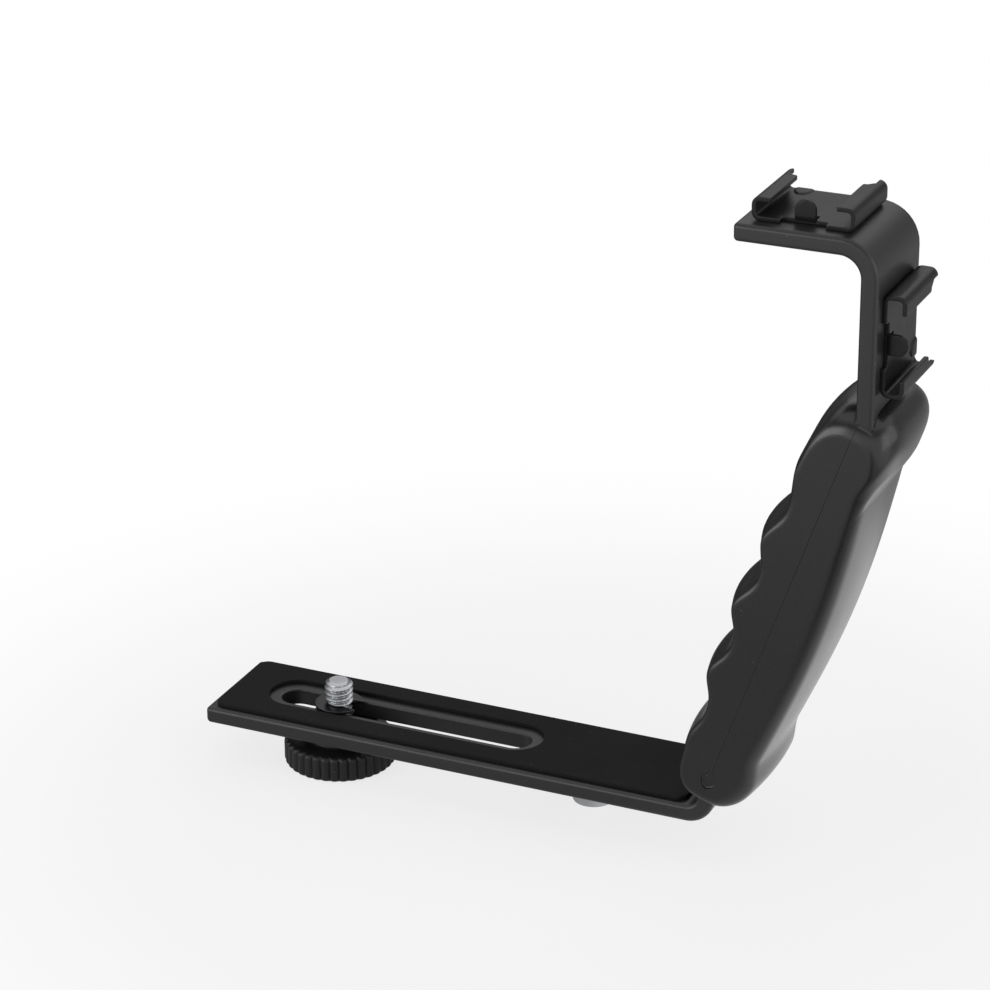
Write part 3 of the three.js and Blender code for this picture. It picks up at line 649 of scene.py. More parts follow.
for name, place in shoe_places.items():
    for level, across in (("middle", 0), ("rear", rivet_spacing)):
        pin = rivet()
        bmesh.ops.transform(pin, matrix=place @ Matrix.Translation((0, across, 0)), verts=pin.verts)
        hand_over(f"{name}_rivet_{level}", pin, "bracket", f"{name}_shoe_rivet_{level}")

# %% [markdown]
# ## The grip's outline
#
# Seen from the side, the grip is a hand's negative. The finger side has five
# ridges with grooves between them, narrow ridges and wide grooves, and the palm
# side swells between two waists. Both are smooth formulas of the place along the
# grip, so they can be drawn as finely as needed.

# %% Grip outline
grip_length, grip_width, grip_rise, grip_offset = 98.0, 29.4, 4.3, 0.7
bar_lean = math.radians(20.8)
grip_lean = math.radians(19.3)
finger_pitch, middle_ridge = 17.0, 46.1


def clamp(value, low, high):
    return max(low, min(high, value))


def head_share(along):
    """From 0 below the head to 1 at the upper end."""
    share = clamp(1 - (grip_length - along) / 28, 0, 1)
    return share * share * (3 - 2 * share)


def finger_height(along):
    """How far the finger side stands out: narrow ridges and wide grooves."""
    swell = math.sin(math.pi * clamp(along / grip_length, 0, 1))
    turns = clamp((along - middle_ridge) / finger_pitch, -2, 2)
    wave = ((1 + math.cos(2 * math.pi * turns)) / 2) ** 1.3
    low, high = 5.5 + 1.1 * swell, 6.4 + 3.2 * swell
    return low + (high - low) * wave


def palm_depth(along, flat_share=0):
    """How far the palm side stands out; flat_share goes from the middle to the flat face."""
    foot_waist, head_waist = 14, grip_length - 18.8
    between = (along - foot_waist) / (head_waist - foot_waist)
    waist = 7.7 - 0.65 * clamp(between, 0, 1) - 2.2 * flat_share * head_share(along)
    if 0 < between < 1:
        return waist + 2.1 * math.sin(math.pi * between)
    past = max(foot_waist - along, along - head_waist)
    flare = 1.1 if between < 0 else 1.4
    return waist + flare * (1 - math.cos(math.pi * min(1, past / 7.5))) / 2


print("highest ridge in mm:", round(max(finger_height(a) for a in range(97)), 1))

# %% [markdown]
# The ends are full, rounded corners. Towards the two flat faces the head gets
# shorter and shallower, so that it ends in a dome. That is drawn with two
# outlines, one for the middle of the grip and one for its faces.

# %% Grip side
def grip_side(side, flat_share, end_steps=20, side_steps=120):
    """Points (along, out) from the lower tip to the upper tip; side 1 is the finger side."""
    foot_radius, head_radius = (7.5, 9.7) if side > 0 else (10, 10.3)
    foot_power, head_power = 2 / 2.5, 2 / 2.5 if side > 0 else 2 / 3
    end = grip_length - 5.1 * flat_share
    rows = []
    for step in range(end_steps):
        angle = math.pi / 2 * step / end_steps
        rows.append((foot_radius * (1 - math.cos(angle) ** foot_power), math.sin(angle) ** foot_power))
    for step in range(side_steps):
        rows.append((foot_radius + (end - foot_radius - head_radius) * step / side_steps, 1))
    for step in range(end_steps, -1, -1):
        angle = math.pi / 2 * step / end_steps
        rows.append((end - head_radius * (1 - math.cos(angle) ** head_power), math.sin(angle) ** head_power))
    if side > 0:
        return [Vector((along, part * finger_height(along))) for along, part in rows]
    return [Vector((along, -part * palm_depth(along, flat_share))) for along, part in rows]


def grip_point(along, out):
    """From the grip's own axis to the X and Z plane."""
    s, h = along + grip_rise, out + grip_offset
    return Vector((
        base_reach + s * math.sin(grip_lean) - h * math.cos(grip_lean),
        base_middle + s * math.cos(grip_lean) + h * math.sin(grip_lean),
    ))


print("points on one side of the grip:", len(grip_side(1, 0)))

# %% [markdown]
# ## The two shells of the grip
#
# The grip is moulded in two halves that close round the bar. Each half is a loft:
# its outline is repeated from one flat face across to the other, drawn in near
# both faces to round the edges, and crowned in the middle. The rounding is a
# little squarer than a circle, which keeps the rim crisp where it catches the
# light. The parting plane closes each half, with a fine chamfer for the joint.
#
# Sculpting or subdividing a box would be quicker to start, but a loft keeps the
# ridges exactly where the fingers need them.

# %% Grip edges
finger_edge, palm_edge, head_edge, foot_edge = 1.4, 3.6, 1.3, 2.4


def mix(low, high, share):
    return low + (high - low) * share


def edge_radius(point, normal, side):
    """Little at the fingers and the head, much along the palm."""
    long_edge = mix(finger_edge if side > 0 else palm_edge, head_edge, head_share(point.x))
    return mix(long_edge, head_edge if normal.x > 0 else foot_edge, normal.x ** 4)


def skin_normals(line, side):
    """Normals of the outline, as if it went on round the other half."""
    mirrored = [Vector((line[1].x, -line[1].y))] + line + [Vector((line[-2].x, -line[-2].y))]
    normals = []
    for before, after in zip(mirrored, mirrored[2:]):
        heading = (after - before).normalized() * side
        normals.append(Vector((-heading.y, heading.x)))
    return normals


print("edge of the palm, halfway up, in mm:", edge_radius(Vector((grip_length / 2, 0)), Vector((0, -1)), -1))

# %% [markdown]
# The rings run from one flat face to the other. Each is a closed loop: the skin
# from tip to tip, and back along the joint. The first and the last loop are
# filled and become the flat faces.

# %% Grip half
joint_gap, joint_steps = 0.02, 24
edge_power, dome_power = 0.75, 6


def grip_ring(middle, face, normals, side, place, quarter):
    """One loop across the grip: place -1 to 1 from face to face, quarter 0 to 1 round the edge."""
    crown, reach = (2.2, 9.6) if side > 0 else (1.2, 9.8)
    half = grip_width / 2
    turn = math.pi / 2 * quarter
    inwards, sideways = 1 - math.sin(turn) ** edge_power, 1 - math.cos(turn) ** edge_power
    skin = []
    for inner, outer, normal in zip(middle, face, normals):
        radius = edge_radius(inner, normal, side)
        inset = radius * inwards
        y = place * (half - radius * sideways)
        point = inner.lerp(outer, abs(y / half) ** dome_power)
        bulge = (1 - (y / half) ** 2) * crown * point.y / reach
        height = side * max(side * (point.y - normal.y * inset + bulge), joint_gap / 2)
        skin.append(Vector((point.x - normal.x * inset, y, height)))
    first, last = skin[0], skin[-1]
    joint = [last.lerp(first, step / joint_steps) for step in range(1, joint_steps)]
    return skin + joint


def grip_half(side, edge_steps=10, across_steps=36):
    """A whole half: side 1 is the finger half, -1 the palm half."""
    middle, face = grip_side(side, 0), grip_side(side, 1)
    normals = skin_normals(middle, side)
    stops = [(-1, step / edge_steps) for step in range(edge_steps + 1)]
    stops += [(math.sin(math.pi * (step / across_steps - 0.5)), 1) for step in range(1, across_steps)]
    stops += [(1, step / edge_steps) for step in range(edge_steps, -1, -1)]
    bm = bmesh.new()
    rings = [[bm.verts.new(p) for p in grip_ring(middle, face, normals, side, *stop)] for stop in stops]
    for lower, upper in zip(rings, rings[1:]):
        for i in range(len(lower)):
            j = (i + 1) % len(lower)
            bm.faces.new((lower[i], lower[j], upper[j], upper[i]))
    bm.faces.new(list(reversed(rings[0])))
    bm.faces.new(rings[-1])
    return bm


print("points between the tips, across the joint:", joint_steps - 1)

# %% [markdown]
# The two halves need a channel for the bar, three sunk holes for the screws and
# the shallow oval on the near face. Cutting is left to the Boolean modifier with
# its manifold solver: the holes meet a curved, ridged surface, and working out those
# edges by hand would gain nothing.

# %% Cut with a tool
def as_object(name, bm):
    """A drawing as an object, because modifiers work on objects."""
    mesh = bpy.data.meshes.new(name)
    bm.to_mesh(mesh)
    bm.free()
    thing = bpy.data.objects.new(name, mesh)
    bpy.context.scene.collection.objects.link(thing)
    return thing


def cut_away(bm, tools):
    """The drawing without the tools, as a new drawing."""
    bmesh.ops.recalc_face_normals(bm, faces=bm.faces)
    work = as_object("work", bm)
    helpers = []
    for number, tool in enumerate(tools):
        bmesh.ops.recalc_face_normals(tool, faces=tool.faces)
        helper = as_object(f"tool_{number}", tool)
        helpers.append(helper)
        cutter = work.modifiers.new(helper.name, "BOOLEAN")
        cutter.operation, cutter.solver, cutter.object = "DIFFERENCE", "MANIFOLD", helper
    depsgraph = bpy.context.evaluated_depsgraph_get()
    result = bmesh.new()
    result.from_mesh(work.evaluated_get(depsgraph).to_mesh())
    for thing in [work, *helpers]:
        mesh = thing.data
        bpy.data.objects.remove(thing)
        bpy.data.meshes.remove(mesh)
    return result


# %% [markdown]
# The tools are the bar itself, a little thicker, and plain pins for the screws.
# A pin is made upright and then laid along the screw's axis, which is square to
# the leaning bar.

# %% Grip tools
screw_rises = [7.4, middle_ridge - finger_pitch / 2, middle_ridge + 1.5 * finger_pitch]
channel_play, screw_wall = 0.3, 2.4
screw_seat = bar_thickness / 2 + channel_play + screw_wall


def along_lean(rise):
    """Turns a piece made about Z so that it points out of the bar's finger side."""
    s = rise + grip_rise
    place = (base_reach + s * math.sin(bar_lean), 0, base_middle + s * math.cos(bar_lean))
    return Matrix.Translation(place) @ Matrix.Rotation(bar_lean - math.pi / 2, 4, "Y")


def channel_tool():
    """The bar with a little play all round."""
    half = bar_width / 2 + channel_play
    outline = [(0, -half), (bar_length, -half), (bar_length, half), (0, half)]
    blank = flat_blank([outline], bar_thickness + 2 * channel_play, 0.4, 2)
    return bend(blank, bar_route, beside)


def screw_hole(rise):
    """A narrow hole for the shank, and a wide one from the seat outwards for the head."""
    narrow, wide, outside = 1.75, 3.2, 40
    pin = stack_rings([(narrow, 0), (narrow, screw_seat), (wide, screw_seat), (wide, outside)], 40)
    bmesh.ops.transform(pin, matrix=along_lean(rise), verts=pin.verts)
    return pin


def oval_tool():
    """A shallow flat dish with a crisp rim, low on the near face."""
    centre = grip_point(6.3, 0)
    radius, depth, above, stretch = 1.75, 0.6, 1, 1.4
    dish = stack_rings(soft_profile([(0.02, -depth, 0), (radius, -depth, 0.3), (radius, above, 0),
                                     (0.02, above, 0)]), 48)
    bmesh.ops.scale(dish, vec=(1, stretch, 1), verts=dish.verts)
    place = Matrix.Translation((centre.x, -grip_width / 2, centre.y))
    turn = Matrix.Rotation(grip_lean, 4, "Y") @ Matrix.Rotation(math.pi / 2, 4, "X")
    bmesh.ops.transform(dish, matrix=place @ turn, verts=dish.verts)
    return dish


print("screws at, along the grip in mm:", screw_rises)

# %% [markdown]
# Each half is chamfered along the joint, carried from the grip's own axis to its
# place on the bar, and cut.

# %% Grip shells
joint_chamfer = 0.05


def chamfer_joint(bm, side):
    """Takes the sharp edge off a half where it meets the other."""
    plane = side * joint_gap / 2
    rim = []
    for edge in bm.edges:
        on_joint = all(abs(v.co.z - plane) < 1e-5 for v in edge.verts)
        if on_joint and any(abs(face.normal.z) < 0.8 for face in edge.link_faces):
            rim.append(edge)
    bmesh.ops.bevel(bm, geom=rim, offset=joint_chamfer, segments=1, affect="EDGES")


def grip_shell(side, tools):
    """A half, chamfered, carried to the bar and cut."""
    half = grip_half(side)
    bmesh.ops.recalc_face_normals(half, faces=half.faces)
    chamfer_joint(half, side)
    for vertex in half.verts:
        at = grip_point(vertex.co.x, vertex.co.z)
        vertex.co = (at.x, vertex.co.y, at.y)
    return cut_away(half, tools)


finger_tools = [channel_tool(), oval_tool()] + [screw_hole(rise) for rise in screw_rises]
hand_over("finger_shell", grip_shell(1, finger_tools), "bracket", "grip_finger_shell", 38)
hand_over("palm_shell", grip_shell(-1, [channel_tool(), oval_tool()]), "bracket",
          "grip_palm_shell", 38)

# %% [markdown]
# ## The grip's screws
#
# Three pan head screws pull the shells together through the bar. Their heads sit
# deep in the grooves of the finger side. Nothing but the heads shows, so the
# shank stays plain and the effort goes into the rounded head and its cross.

# %% Grip screws
def grip_screw():
    """A plain pointed shank and a domed head with a cross cut into it."""
    seat, top = screw_seat, screw_seat + 2.0
    shank, head_radius = 1.5, 2.8
    head = stack_rings(soft_profile([
        (0.4, seat - 10, 0), (shank, seat - 8.5, 0), (shank, seat, 0), (head_radius, seat, 0.15),
        (head_radius, seat + 1.0, 0.5), (2.1, top - 0.1, 0.7), (0.02, top, 0),
    ], 5), 48)
    arms = []
    for turn in (0, math.pi / 2):
        arm = bmesh.new()
        bmesh.ops.create_cube(arm, size=1)
        bmesh.ops.scale(arm, vec=(3.2, 0.9, 2.2), verts=arm.verts)
        for vertex in arm.verts:
            if vertex.co.z < 0:
                vertex.co.x *= 0.35
        place = Matrix.Translation((0, 0, top)) @ Matrix.Rotation(turn, 4, "Z")
        bmesh.ops.transform(arm, matrix=place, verts=arm.verts)
        arms.append(arm)
    return cut_away(head, arms)


for level, rise in zip(("lower", "middle", "upper"), screw_rises):
    screw = grip_screw()
    bmesh.ops.transform(screw, matrix=along_lean(rise), verts=screw.verts)
    hand_over(f"pan_screw_{level}", screw, "bracket", f"grip_screw_{level}", 35)

# %% [markdown]
# ## The knob
#
# A round moulded knob turns the bolt. Its rim has 36 upright ribs, each a small
# arch with a sharp valley beside it. A Displace modifier would soften those
# valleys, so the ribs are part of the radius that the rings are stacked with, and
# fade out over the rounded edges. The foot of the knob is dished, and the hex
# head of the bolt lies flush in a pocket there.

# %% Ribs and hexagons
rib_count = 36


def hexagon(flats):
    """The radius of a hexagon with softened corners."""
    def radius(angle, height):
        turn = (angle + math.pi / 6) % (math.pi / 3) - math.pi / 6
        return min(flats / 2 / math.cos(turn), flats / 2 / math.cos(math.pi / 6) - 0.25)
    return radius


def ribbed(radius, depth):
    """The radius of a rim with arched ribs and sharp valleys."""
    def reach(angle, height):
        arch = abs(math.cos(rib_count / 2 * angle)) ** 0.7
        return radius - depth * (1 - arch)
    return reach


print("depth of a valley in mm:", round(12.5 - ribbed(12.5, 0.55)(math.pi / rib_count, 0), 2))

# %% [markdown]
# The profile runs from the bore down the pocket of the hex head, round the dished
# foot, up the ribbed rim and in over the collar. The bore is left open for the
# bolt, so the profile is closed instead of capped.

# %% Knob
bolt_from_end, bar_play, washer_sheet = 26.8, 0.1, 0.8
collar_height, rim_height, pocket_rise, head_height = 2.6, 5.9, 0.8, 4.2
bolt_x = -base_tail + bolt_from_end
washer_top = flange_top - bar_play
knob_top = washer_top - washer_sheet
knob_low = knob_top - collar_height - rim_height
head_top = knob_low + pocket_rise + head_height
bolt_hole = 3.15


def knob_profile():
    rim, edge, rim_top = 12.5, 1.0, knob_low + rim_height
    foot, pocket = knob_low + pocket_rise, hexagon(11.4)
    points = [(bolt_hole, head_top), (pocket, head_top), (pocket, foot)]
    points += soft_profile([(8.5, foot, 0), (8.75, foot, 0.2), (8.75, knob_low, 0.3), (9.2, knob_low, 0)])
    for low_end in (True, False):
        turns = range(7) if low_end else range(6, -1, -1)
        for step in turns:
            angle = math.pi / 2 * step / 6
            inset = edge * (1 - math.sin(angle))
            rise = edge * (1 - math.cos(angle))
            height = knob_low + rise if low_end else rim_top - rise
            points.append((ribbed(rim - inset, 0.55 * math.sin(angle) ** 0.5), height))
    points += soft_profile([(9.5, rim_top + 0.02, 0), (7.7, rim_top + 0.05, 0.5), (7.5, rim_top + 0.6, 0.3),
                            (7.5, knob_top, 0.35), (bolt_hole, knob_top, 0)])
    return points


knob = stack_rings(knob_profile(), rib_count * 10, closed=True)
bmesh.ops.translate(knob, vec=(bolt_x, 0, 0), verts=knob.verts)
hand_over("ribbed_knob", knob, "knob", "seat_knob", 42)

# %% [markdown]
# ## The bolt, its washer and its clip
#
# The bolt is a plain hex head, a neck that fills the slot, a groove for the clip
# and a quarter inch thread. Near its tip the thread runs out over half a turn, as
# a rolled thread does.

# %% Bolt
clip_play, clip_sheet, bolt_rise = 0.1, 0.7, 5.2
clip_low = base_top + clip_play
clip_high = clip_low + clip_sheet
bolt_tip = base_top + pad_thickness + bolt_rise


def bolt_thread(angle, height):
    """The radius of the thread, which fades at both ends."""
    wave = triangle_wave(height / thread_pitch - angle / (2 * math.pi))
    crest = clamp(wave * 1.35 - 0.15, 0, 1)
    fade = clamp((bolt_tip - height) / 0.9, 0, 1) * clamp((height - clip_high) / 0.4, 0, 1)
    root = thread_major / 2 - thread_depth
    return root + thread_depth * crest * fade - 0.45 * (1 - clamp((bolt_tip - height) / 0.5, 0, 1))


thread_rings = 72
thread_low = clip_high + 0.15
thread = [(bolt_thread, thread_low + (bolt_tip - thread_low) * step / thread_rings)
          for step in range(thread_rings + 1)]
head_low, groove_low = head_top - head_height, clip_low - 0.15
hex_head, bolt_neck, groove = hexagon(11.1), 3.0, 2.2
bolt = stack_rings([
    (4.9, head_low), (5.2, head_low), (hex_head, head_low + 0.35), (hex_head, head_top),
    (bolt_neck, head_top), (bolt_neck, clip_low - 0.3), (2.85, groove_low), (groove, groove_low),
    (groove, thread_low),
] + thread, 60)
bmesh.ops.translate(bolt, vec=(bolt_x, 0, 0), verts=bolt.verts)
hand_over("hex_bolt", bolt, "knob", "seat_bolt", 32)

# %% [markdown]
# The washer between knob and bar is nylon, so the knob turns smoothly. The clip
# is a spring ring, open on one side, that keeps the bolt from falling out.

# %% Washer and clip
washer_radius, washer_middle = 8.5, knob_top + 0.4
washer = stack_rings(soft_profile([
    (bolt_hole, washer_middle, 0), (bolt_hole, knob_top, 0.1), (washer_radius, knob_top, 0.2),
    (washer_radius, washer_top, 0.2), (bolt_hole, washer_top, 0.1), (bolt_hole, washer_middle, 0),
])[:-1], 72, closed=True)
bmesh.ops.translate(washer, vec=(bolt_x, 0, 0), verts=washer.verts)
hand_over("nylon_washer", washer, "slider", "bolt_washer")


def arc_round(radius, half_mouth, steps):
    """An arc from one side of the clip's mouth round to the other."""
    start = math.asin(half_mouth / radius)
    angles = [start + (2 * math.pi - 2 * start) * step / steps for step in range(steps + 1)]
    return [(radius * math.cos(a), radius * math.sin(a)) for a in angles]


clip_outline = arc_round(5.4, 2.2, 48) + arc_round(2.35, 1.9, 32)[::-1]
clip = flat_blank([clip_outline], clip_sheet, 0.1, 2)
bmesh.ops.translate(clip, vec=(bolt_x, 0, clip_low + clip_sheet / 2), verts=clip.verts)
hand_over("spring_clip", clip, "knob", "bolt_clip")

# %% [markdown]
# ## Wiring a node tree
#
# A finish can be wired by hand in the Shader Editor, but a script keeps its
# numbers where they can be read, compared and changed. Adding, setting and
# joining a node takes several lines each time, so this helper does it in one. An
# input goes by its name, with an underscore for a space, or by its number, as _0.

# %% Wiring
class Wiring:
    """Adds nodes to a tree and joins them, one short line each."""

    def __init__(self, tree):
        self.tree = tree

    def node(self, kind, settings=None, **inputs):
        """A node with its settings. An input is a fixed value, or another node's output to join."""
        made = self.tree.nodes.new(f"ShaderNode{kind}")
        for key, value in (settings or {}).items():
            setattr(made, key, value)
        for key, value in inputs.items():
            socket = made.inputs[int(key[1:])] if key[1:].isdigit() else made.inputs[key.replace("_", " ")]
            if isinstance(value, bpy.types.NodeSocket):
                self.tree.links.new(value, socket)
            else:
                socket.default_value = value
        return made

    def math(self, operation, a, b=0.0, limited=False):
        return self.node("Math", {"operation": operation, "use_clamp": limited}, _0=a, _1=b).outputs[0]

    def between(self, share, low, high):
        """A value that goes from low to high as the share goes from 0 to 1."""
        return self.node("MapRange", {"clamp": True}, Value=share, To_Min=low, To_Max=high).outputs["Result"]

    def ramp(self, value, start, end, low, high):
        """A smooth change from low to high while the value goes from start to end."""
        return self.node("MapRange", {"interpolation_type": "SMOOTHSTEP"}, Value=value, From_Min=start,
                         From_Max=end, To_Min=low, To_Max=high).outputs["Result"]


# %% [markdown]
# ## Grain
#
# Every finish on this bracket has a fine texture: the eroded mould of the grip, the slightly wavy powder
# coat, the rubber. One node group serves them all. It adds a coarse and a fine noise and gives out a height
# for the Bump node and a speckle that varies colour. It works on object coordinates, so the grain stays on a
# piece while it moves.

# %% Grain group
def new_group(name, inputs, outputs):
    """An empty shader group with its sockets: (name, type, default)."""
    group = bpy.data.node_groups.new(name, "ShaderNodeTree")
    for direction, sockets in (("INPUT", inputs), ("OUTPUT", outputs)):
        for label, kind, default in sockets:
            socket = group.interface.new_socket(name=label, in_out=direction, socket_type=kind)
            if direction == "INPUT":
                socket.default_value = default
    return group


grain = new_group(
    "surface_grain",
    [("Fine Scale", "NodeSocketFloat", 3000.0), ("Coarse Scale", "NodeSocketFloat", 500.0),
     ("Coarse Share", "NodeSocketFloat", 0.5)],
    [("Height", "NodeSocketFloat", 0.0), ("Speckle", "NodeSocketFloat", 0.0)],
)
wire = Wiring(grain)
entry = grain.nodes.new("NodeGroupInput")
leave = grain.nodes.new("NodeGroupOutput")
place = wire.node("TexCoord").outputs["Object"]
fine = wire.node("TexNoise", Vector=place, Scale=entry.outputs["Fine Scale"], Detail=2.0, Roughness=0.6)
coarse = wire.node("TexNoise", Vector=place, Scale=entry.outputs["Coarse Scale"], Detail=2.0, Roughness=0.5)
fine_height = fine.outputs[0]
coarse_height = wire.math("MULTIPLY", coarse.outputs[0], entry.outputs["Coarse Share"])
grain.links.new(wire.math("ADD", fine_height, coarse_height), leave.inputs["Height"])
grain.links.new(wire.between(fine_height, -0.6, 1.6), leave.inputs["Speckle"])
print("group:", grain.name)

# %% [markdown]
# ## Handling
#
# A tool that is held in the hand is never evenly dull. Where palms and thumbs have
# been, the surface is a touch smoother. The second group makes soft, broad patches
# for that, plus a few fine dust specks. New goods show little of either, so the
# materials use it sparingly.

# %% Handling group
handling = new_group(
    "handling_marks",
    [("Patch Scale", "NodeSocketFloat", 40.0), ("Dust Scale", "NodeSocketFloat", 700.0)],
    [("Patches", "NodeSocketFloat", 0.0), ("Dust", "NodeSocketFloat", 0.0)],
)
wire = Wiring(handling)
entry = handling.nodes.new("NodeGroupInput")
leave = handling.nodes.new("NodeGroupOutput")
place = wire.node("TexCoord").outputs["Object"]
broad = wire.node("TexNoise", Vector=place, Scale=entry.outputs["Patch Scale"], Detail=3.0, Roughness=0.55)
patches = wire.node("MapRange", {"interpolation_type": "SMOOTHSTEP"}, Value=broad.outputs[0],
                    From_Min=0.35, From_Max=0.65).outputs["Result"]
cells = wire.node("TexVoronoi", {"feature": "F1"}, Vector=place, Scale=entry.outputs["Dust Scale"])
dots = wire.math("LESS_THAN", cells.outputs["Distance"], 0.09)
rare = wire.math("GREATER_THAN", wire.node("SeparateColor", Color=cells.outputs["Color"]).outputs[0], 0.93)
handling.links.new(patches, leave.inputs["Patches"])
handling.links.new(wire.math("MULTIPLY", dots, rare), leave.inputs["Dust"])
print("group:", handling.name)

# %% [markdown]
# ## Edges
#
# Paint is thinner and plastic more polished along an edge, and a rounded edge catches a light line. The edge
# mask makes the surface smoother there and lightens its colour, which is partly thinner paint and partly a
# painted highlight. The Bevel node looks at the surface a fraction of a millimetre around each point, and
# where its normal differs from the true one there is an edge. That needs no painted map and follows every
# piece by itself.

# %% Edge group
edges = new_group(
    "edge_polish_and_highlight",
    [("Width", "NodeSocketFloat", 0.0005)],
    [("Edge", "NodeSocketFloat", 0.0)],
)
wire = Wiring(edges)
entry = edges.nodes.new("NodeGroupInput")
leave = edges.nodes.new("NodeGroupOutput")
softened = wire.node("Bevel", {"samples": 4}, Radius=entry.outputs["Width"]).outputs[0]
true_normal = wire.node("NewGeometry").outputs["Normal"]
agree = wire.node("VectorMath", {"operation": "DOT_PRODUCT"}, _0=softened, _1=true_normal).outputs["Value"]
differ = wire.math("SUBTRACT", 1.0, agree)
found = wire.node("MapRange", {"clamp": True}, Value=differ, From_Min=0.01, From_Max=0.12)
edges.links.new(found.outputs["Result"], leave.inputs["Edge"])
print("group:", edges.name)

# %% [markdown]
# ## Painted and moulded finishes
#
# Nearly everything here is black, and what tells the materials apart is how they reflect. The powder coat is
# satin with a slight orange peel, the grip is the smoothest and has the finest grain, the shoes lie between
# them, the knob is duller, and the rubber is the dullest. Six materials could be wired one by one, but one
# recipe with different numbers keeps them alike: grain drives colour and bump, patches and edges shift the
# roughness, and edges are a little lighter, partly from thinner paint and partly as a painted highlight.

# %% Coated finish
dust_colour = (0.3, 0.29, 0.28, 1)


def coated(name, shades, roughness, grains, depth, gloss=0.35, tint=1.0):
    """A paint or a moulding: darkest and lightest, roughest and smoothest, fine and coarse grain."""
    (shade, lighter), (rough, smooth), (fine, coarse) = shades, roughness, grains
    material = bpy.data.materials.new(name)
    material.use_nodes = True
    tree = material.node_tree
    shader = tree.nodes["Principled BSDF"]
    shader.inputs["Specular IOR Level"].default_value = gloss
    wire = Wiring(tree)
    texture = wire.node("Group", {"node_tree": grain}, Fine_Scale=fine, Coarse_Scale=coarse)
    marks = wire.node("Group", {"node_tree": handling})
    edge = wire.node("Group", {"node_tree": edges}, Width=0.0005)
    speckle = texture.outputs["Speckle"]
    dark = (shade * tint, shade, shade / tint, 1)
    light = (lighter * tint, lighter, lighter / tint, 1)
    # Edges lighten the colour: partly thinner paint, partly a painted highlight of the light line on a
    # rounded edge.
    highlight_and_speckle = wire.math("ADD", wire.math("MULTIPLY", edge.outputs["Edge"], 0.5),
                      wire.math("MULTIPLY", speckle, 0.5), limited=True)
    colour = wire.node("Mix", {"data_type": "RGBA"}, Factor=highlight_and_speckle, _6=dark, _7=light).outputs[2]
    dust = wire.math("MULTIPLY", marks.outputs["Dust"], 0.25)
    dusted = wire.node("Mix", {"data_type": "RGBA"}, Factor=dust,
                       _6=colour, _7=dust_colour).outputs[2]
    tree.links.new(dusted, shader.inputs["Base Color"])
    worn = wire.math("ADD", wire.math("MULTIPLY", marks.outputs["Patches"], 0.45),
                     wire.math("MULTIPLY", edge.outputs["Edge"], 0.4), limited=True)
    tree.links.new(wire.between(worn, rough, smooth), shader.inputs["Roughness"])
    bump = wire.node("Bump", Strength=0.6, Distance=depth, Height=texture.outputs["Height"])
    tree.links.new(bump.outputs[0], shader.inputs["Normal"])
    print(f"{name}: roughness {rough} to {smooth}")
    return material


# %% [markdown]
# The numbers were found by comparing tones with the photograph, one piece after
# the other. The shades are nearly the same everywhere, and roughness, gloss and
# grain make the difference. The slight tint keeps black from looking like a
# perfect grey.

# %% Black finishes
bar_coat = coated("satin_powder_coat", shades=(0.012, 0.022), roughness=(0.44, 0.34),
                  grains=(2600, 420), depth=0.00002, gloss=0.5, tint=1.01)
grip_moulding = coated("grip_moulding", shades=(0.011, 0.022), roughness=(0.28, 0.20),
                       grains=(4200, 700), depth=0.000008, gloss=0.5, tint=1.02)
knob_moulding = coated("knob_moulding", shades=(0.008, 0.018), roughness=(0.50, 0.40),
                       grains=(3600, 600), depth=0.00002)
shoe_coat = coated("shoe_paint", shades=(0.010, 0.022), roughness=(0.36, 0.28),
                   grains=(2200, 500), depth=0.00001, gloss=0.21)
pad_rubber = coated("pad_rubber", shades=(0.006, 0.013), roughness=(0.80, 0.66),
                    grains=(1800, 900), depth=0.00005, gloss=0.15)
nylon = coated("washer_nylon", shades=(0.012, 0.02), roughness=(0.6, 0.5),
               grains=(2000, 400), depth=0.00001)

# %% [markdown]
# ## Bare metal
#
# The bolt and the socket are zinc plated steel, and the screws and the clip are blackened. Metal shows its
# making as fine rings or scratches, so its recipe stretches the noise along one direction before it feeds
# colour and bump.

# %% Metal finish
def metal(name, dark, light, rough, smooth, depth=0.000004):
    """A bare metal: darkest and lightest colour, roughest and smoothest surface."""
    material = bpy.data.materials.new(name)
    material.use_nodes = True
    tree = material.node_tree
    shader = tree.nodes["Principled BSDF"]
    shader.inputs["Metallic"].default_value = 1.0
    wire = Wiring(tree)
    place = wire.node("TexCoord").outputs["Object"]
    stretched = wire.node("Mapping", Vector=place, Scale=(600.0, 600.0, 9000.0)).outputs[0]
    rings = wire.node("TexNoise", Vector=stretched, Scale=1.0, Detail=3.0).outputs[0]
    marks = wire.node("Group", {"node_tree": handling}, Patch_Scale=220.0)
    edge = wire.node("Group", {"node_tree": edges}, Width=0.0003)
    tone = wire.math("ADD", wire.math("MULTIPLY", rings, 0.6),
                     wire.math("MULTIPLY", edge.outputs["Edge"], 0.5), limited=True)
    colour = wire.node("Mix", {"data_type": "RGBA"}, Factor=tone, _6=(*dark, 1), _7=(*light, 1)).outputs[2]
    tree.links.new(colour, shader.inputs["Base Color"])
    tree.links.new(wire.between(marks.outputs["Patches"], rough, smooth), shader.inputs["Roughness"])
    bump = wire.node("Bump", Strength=0.5, Distance=depth, Height=rings)
    tree.links.new(bump.outputs[0], shader.inputs["Normal"])
    print(f"{name}: roughness {rough} to {smooth}")
    return material


zinc_plate = metal("zinc_plate", (0.42, 0.43, 0.45), (0.62, 0.63, 0.65), 0.38, 0.24)
black_oxide = metal("black_oxide", (0.035, 0.035, 0.038), (0.09, 0.09, 0.095), 0.42, 0.3)

# %% [markdown]
# ## Dressing the pieces
#
# One table says which finish belongs to which pieces. That is easier to check than
# a line after every piece, and the print at its end names any piece left bare.

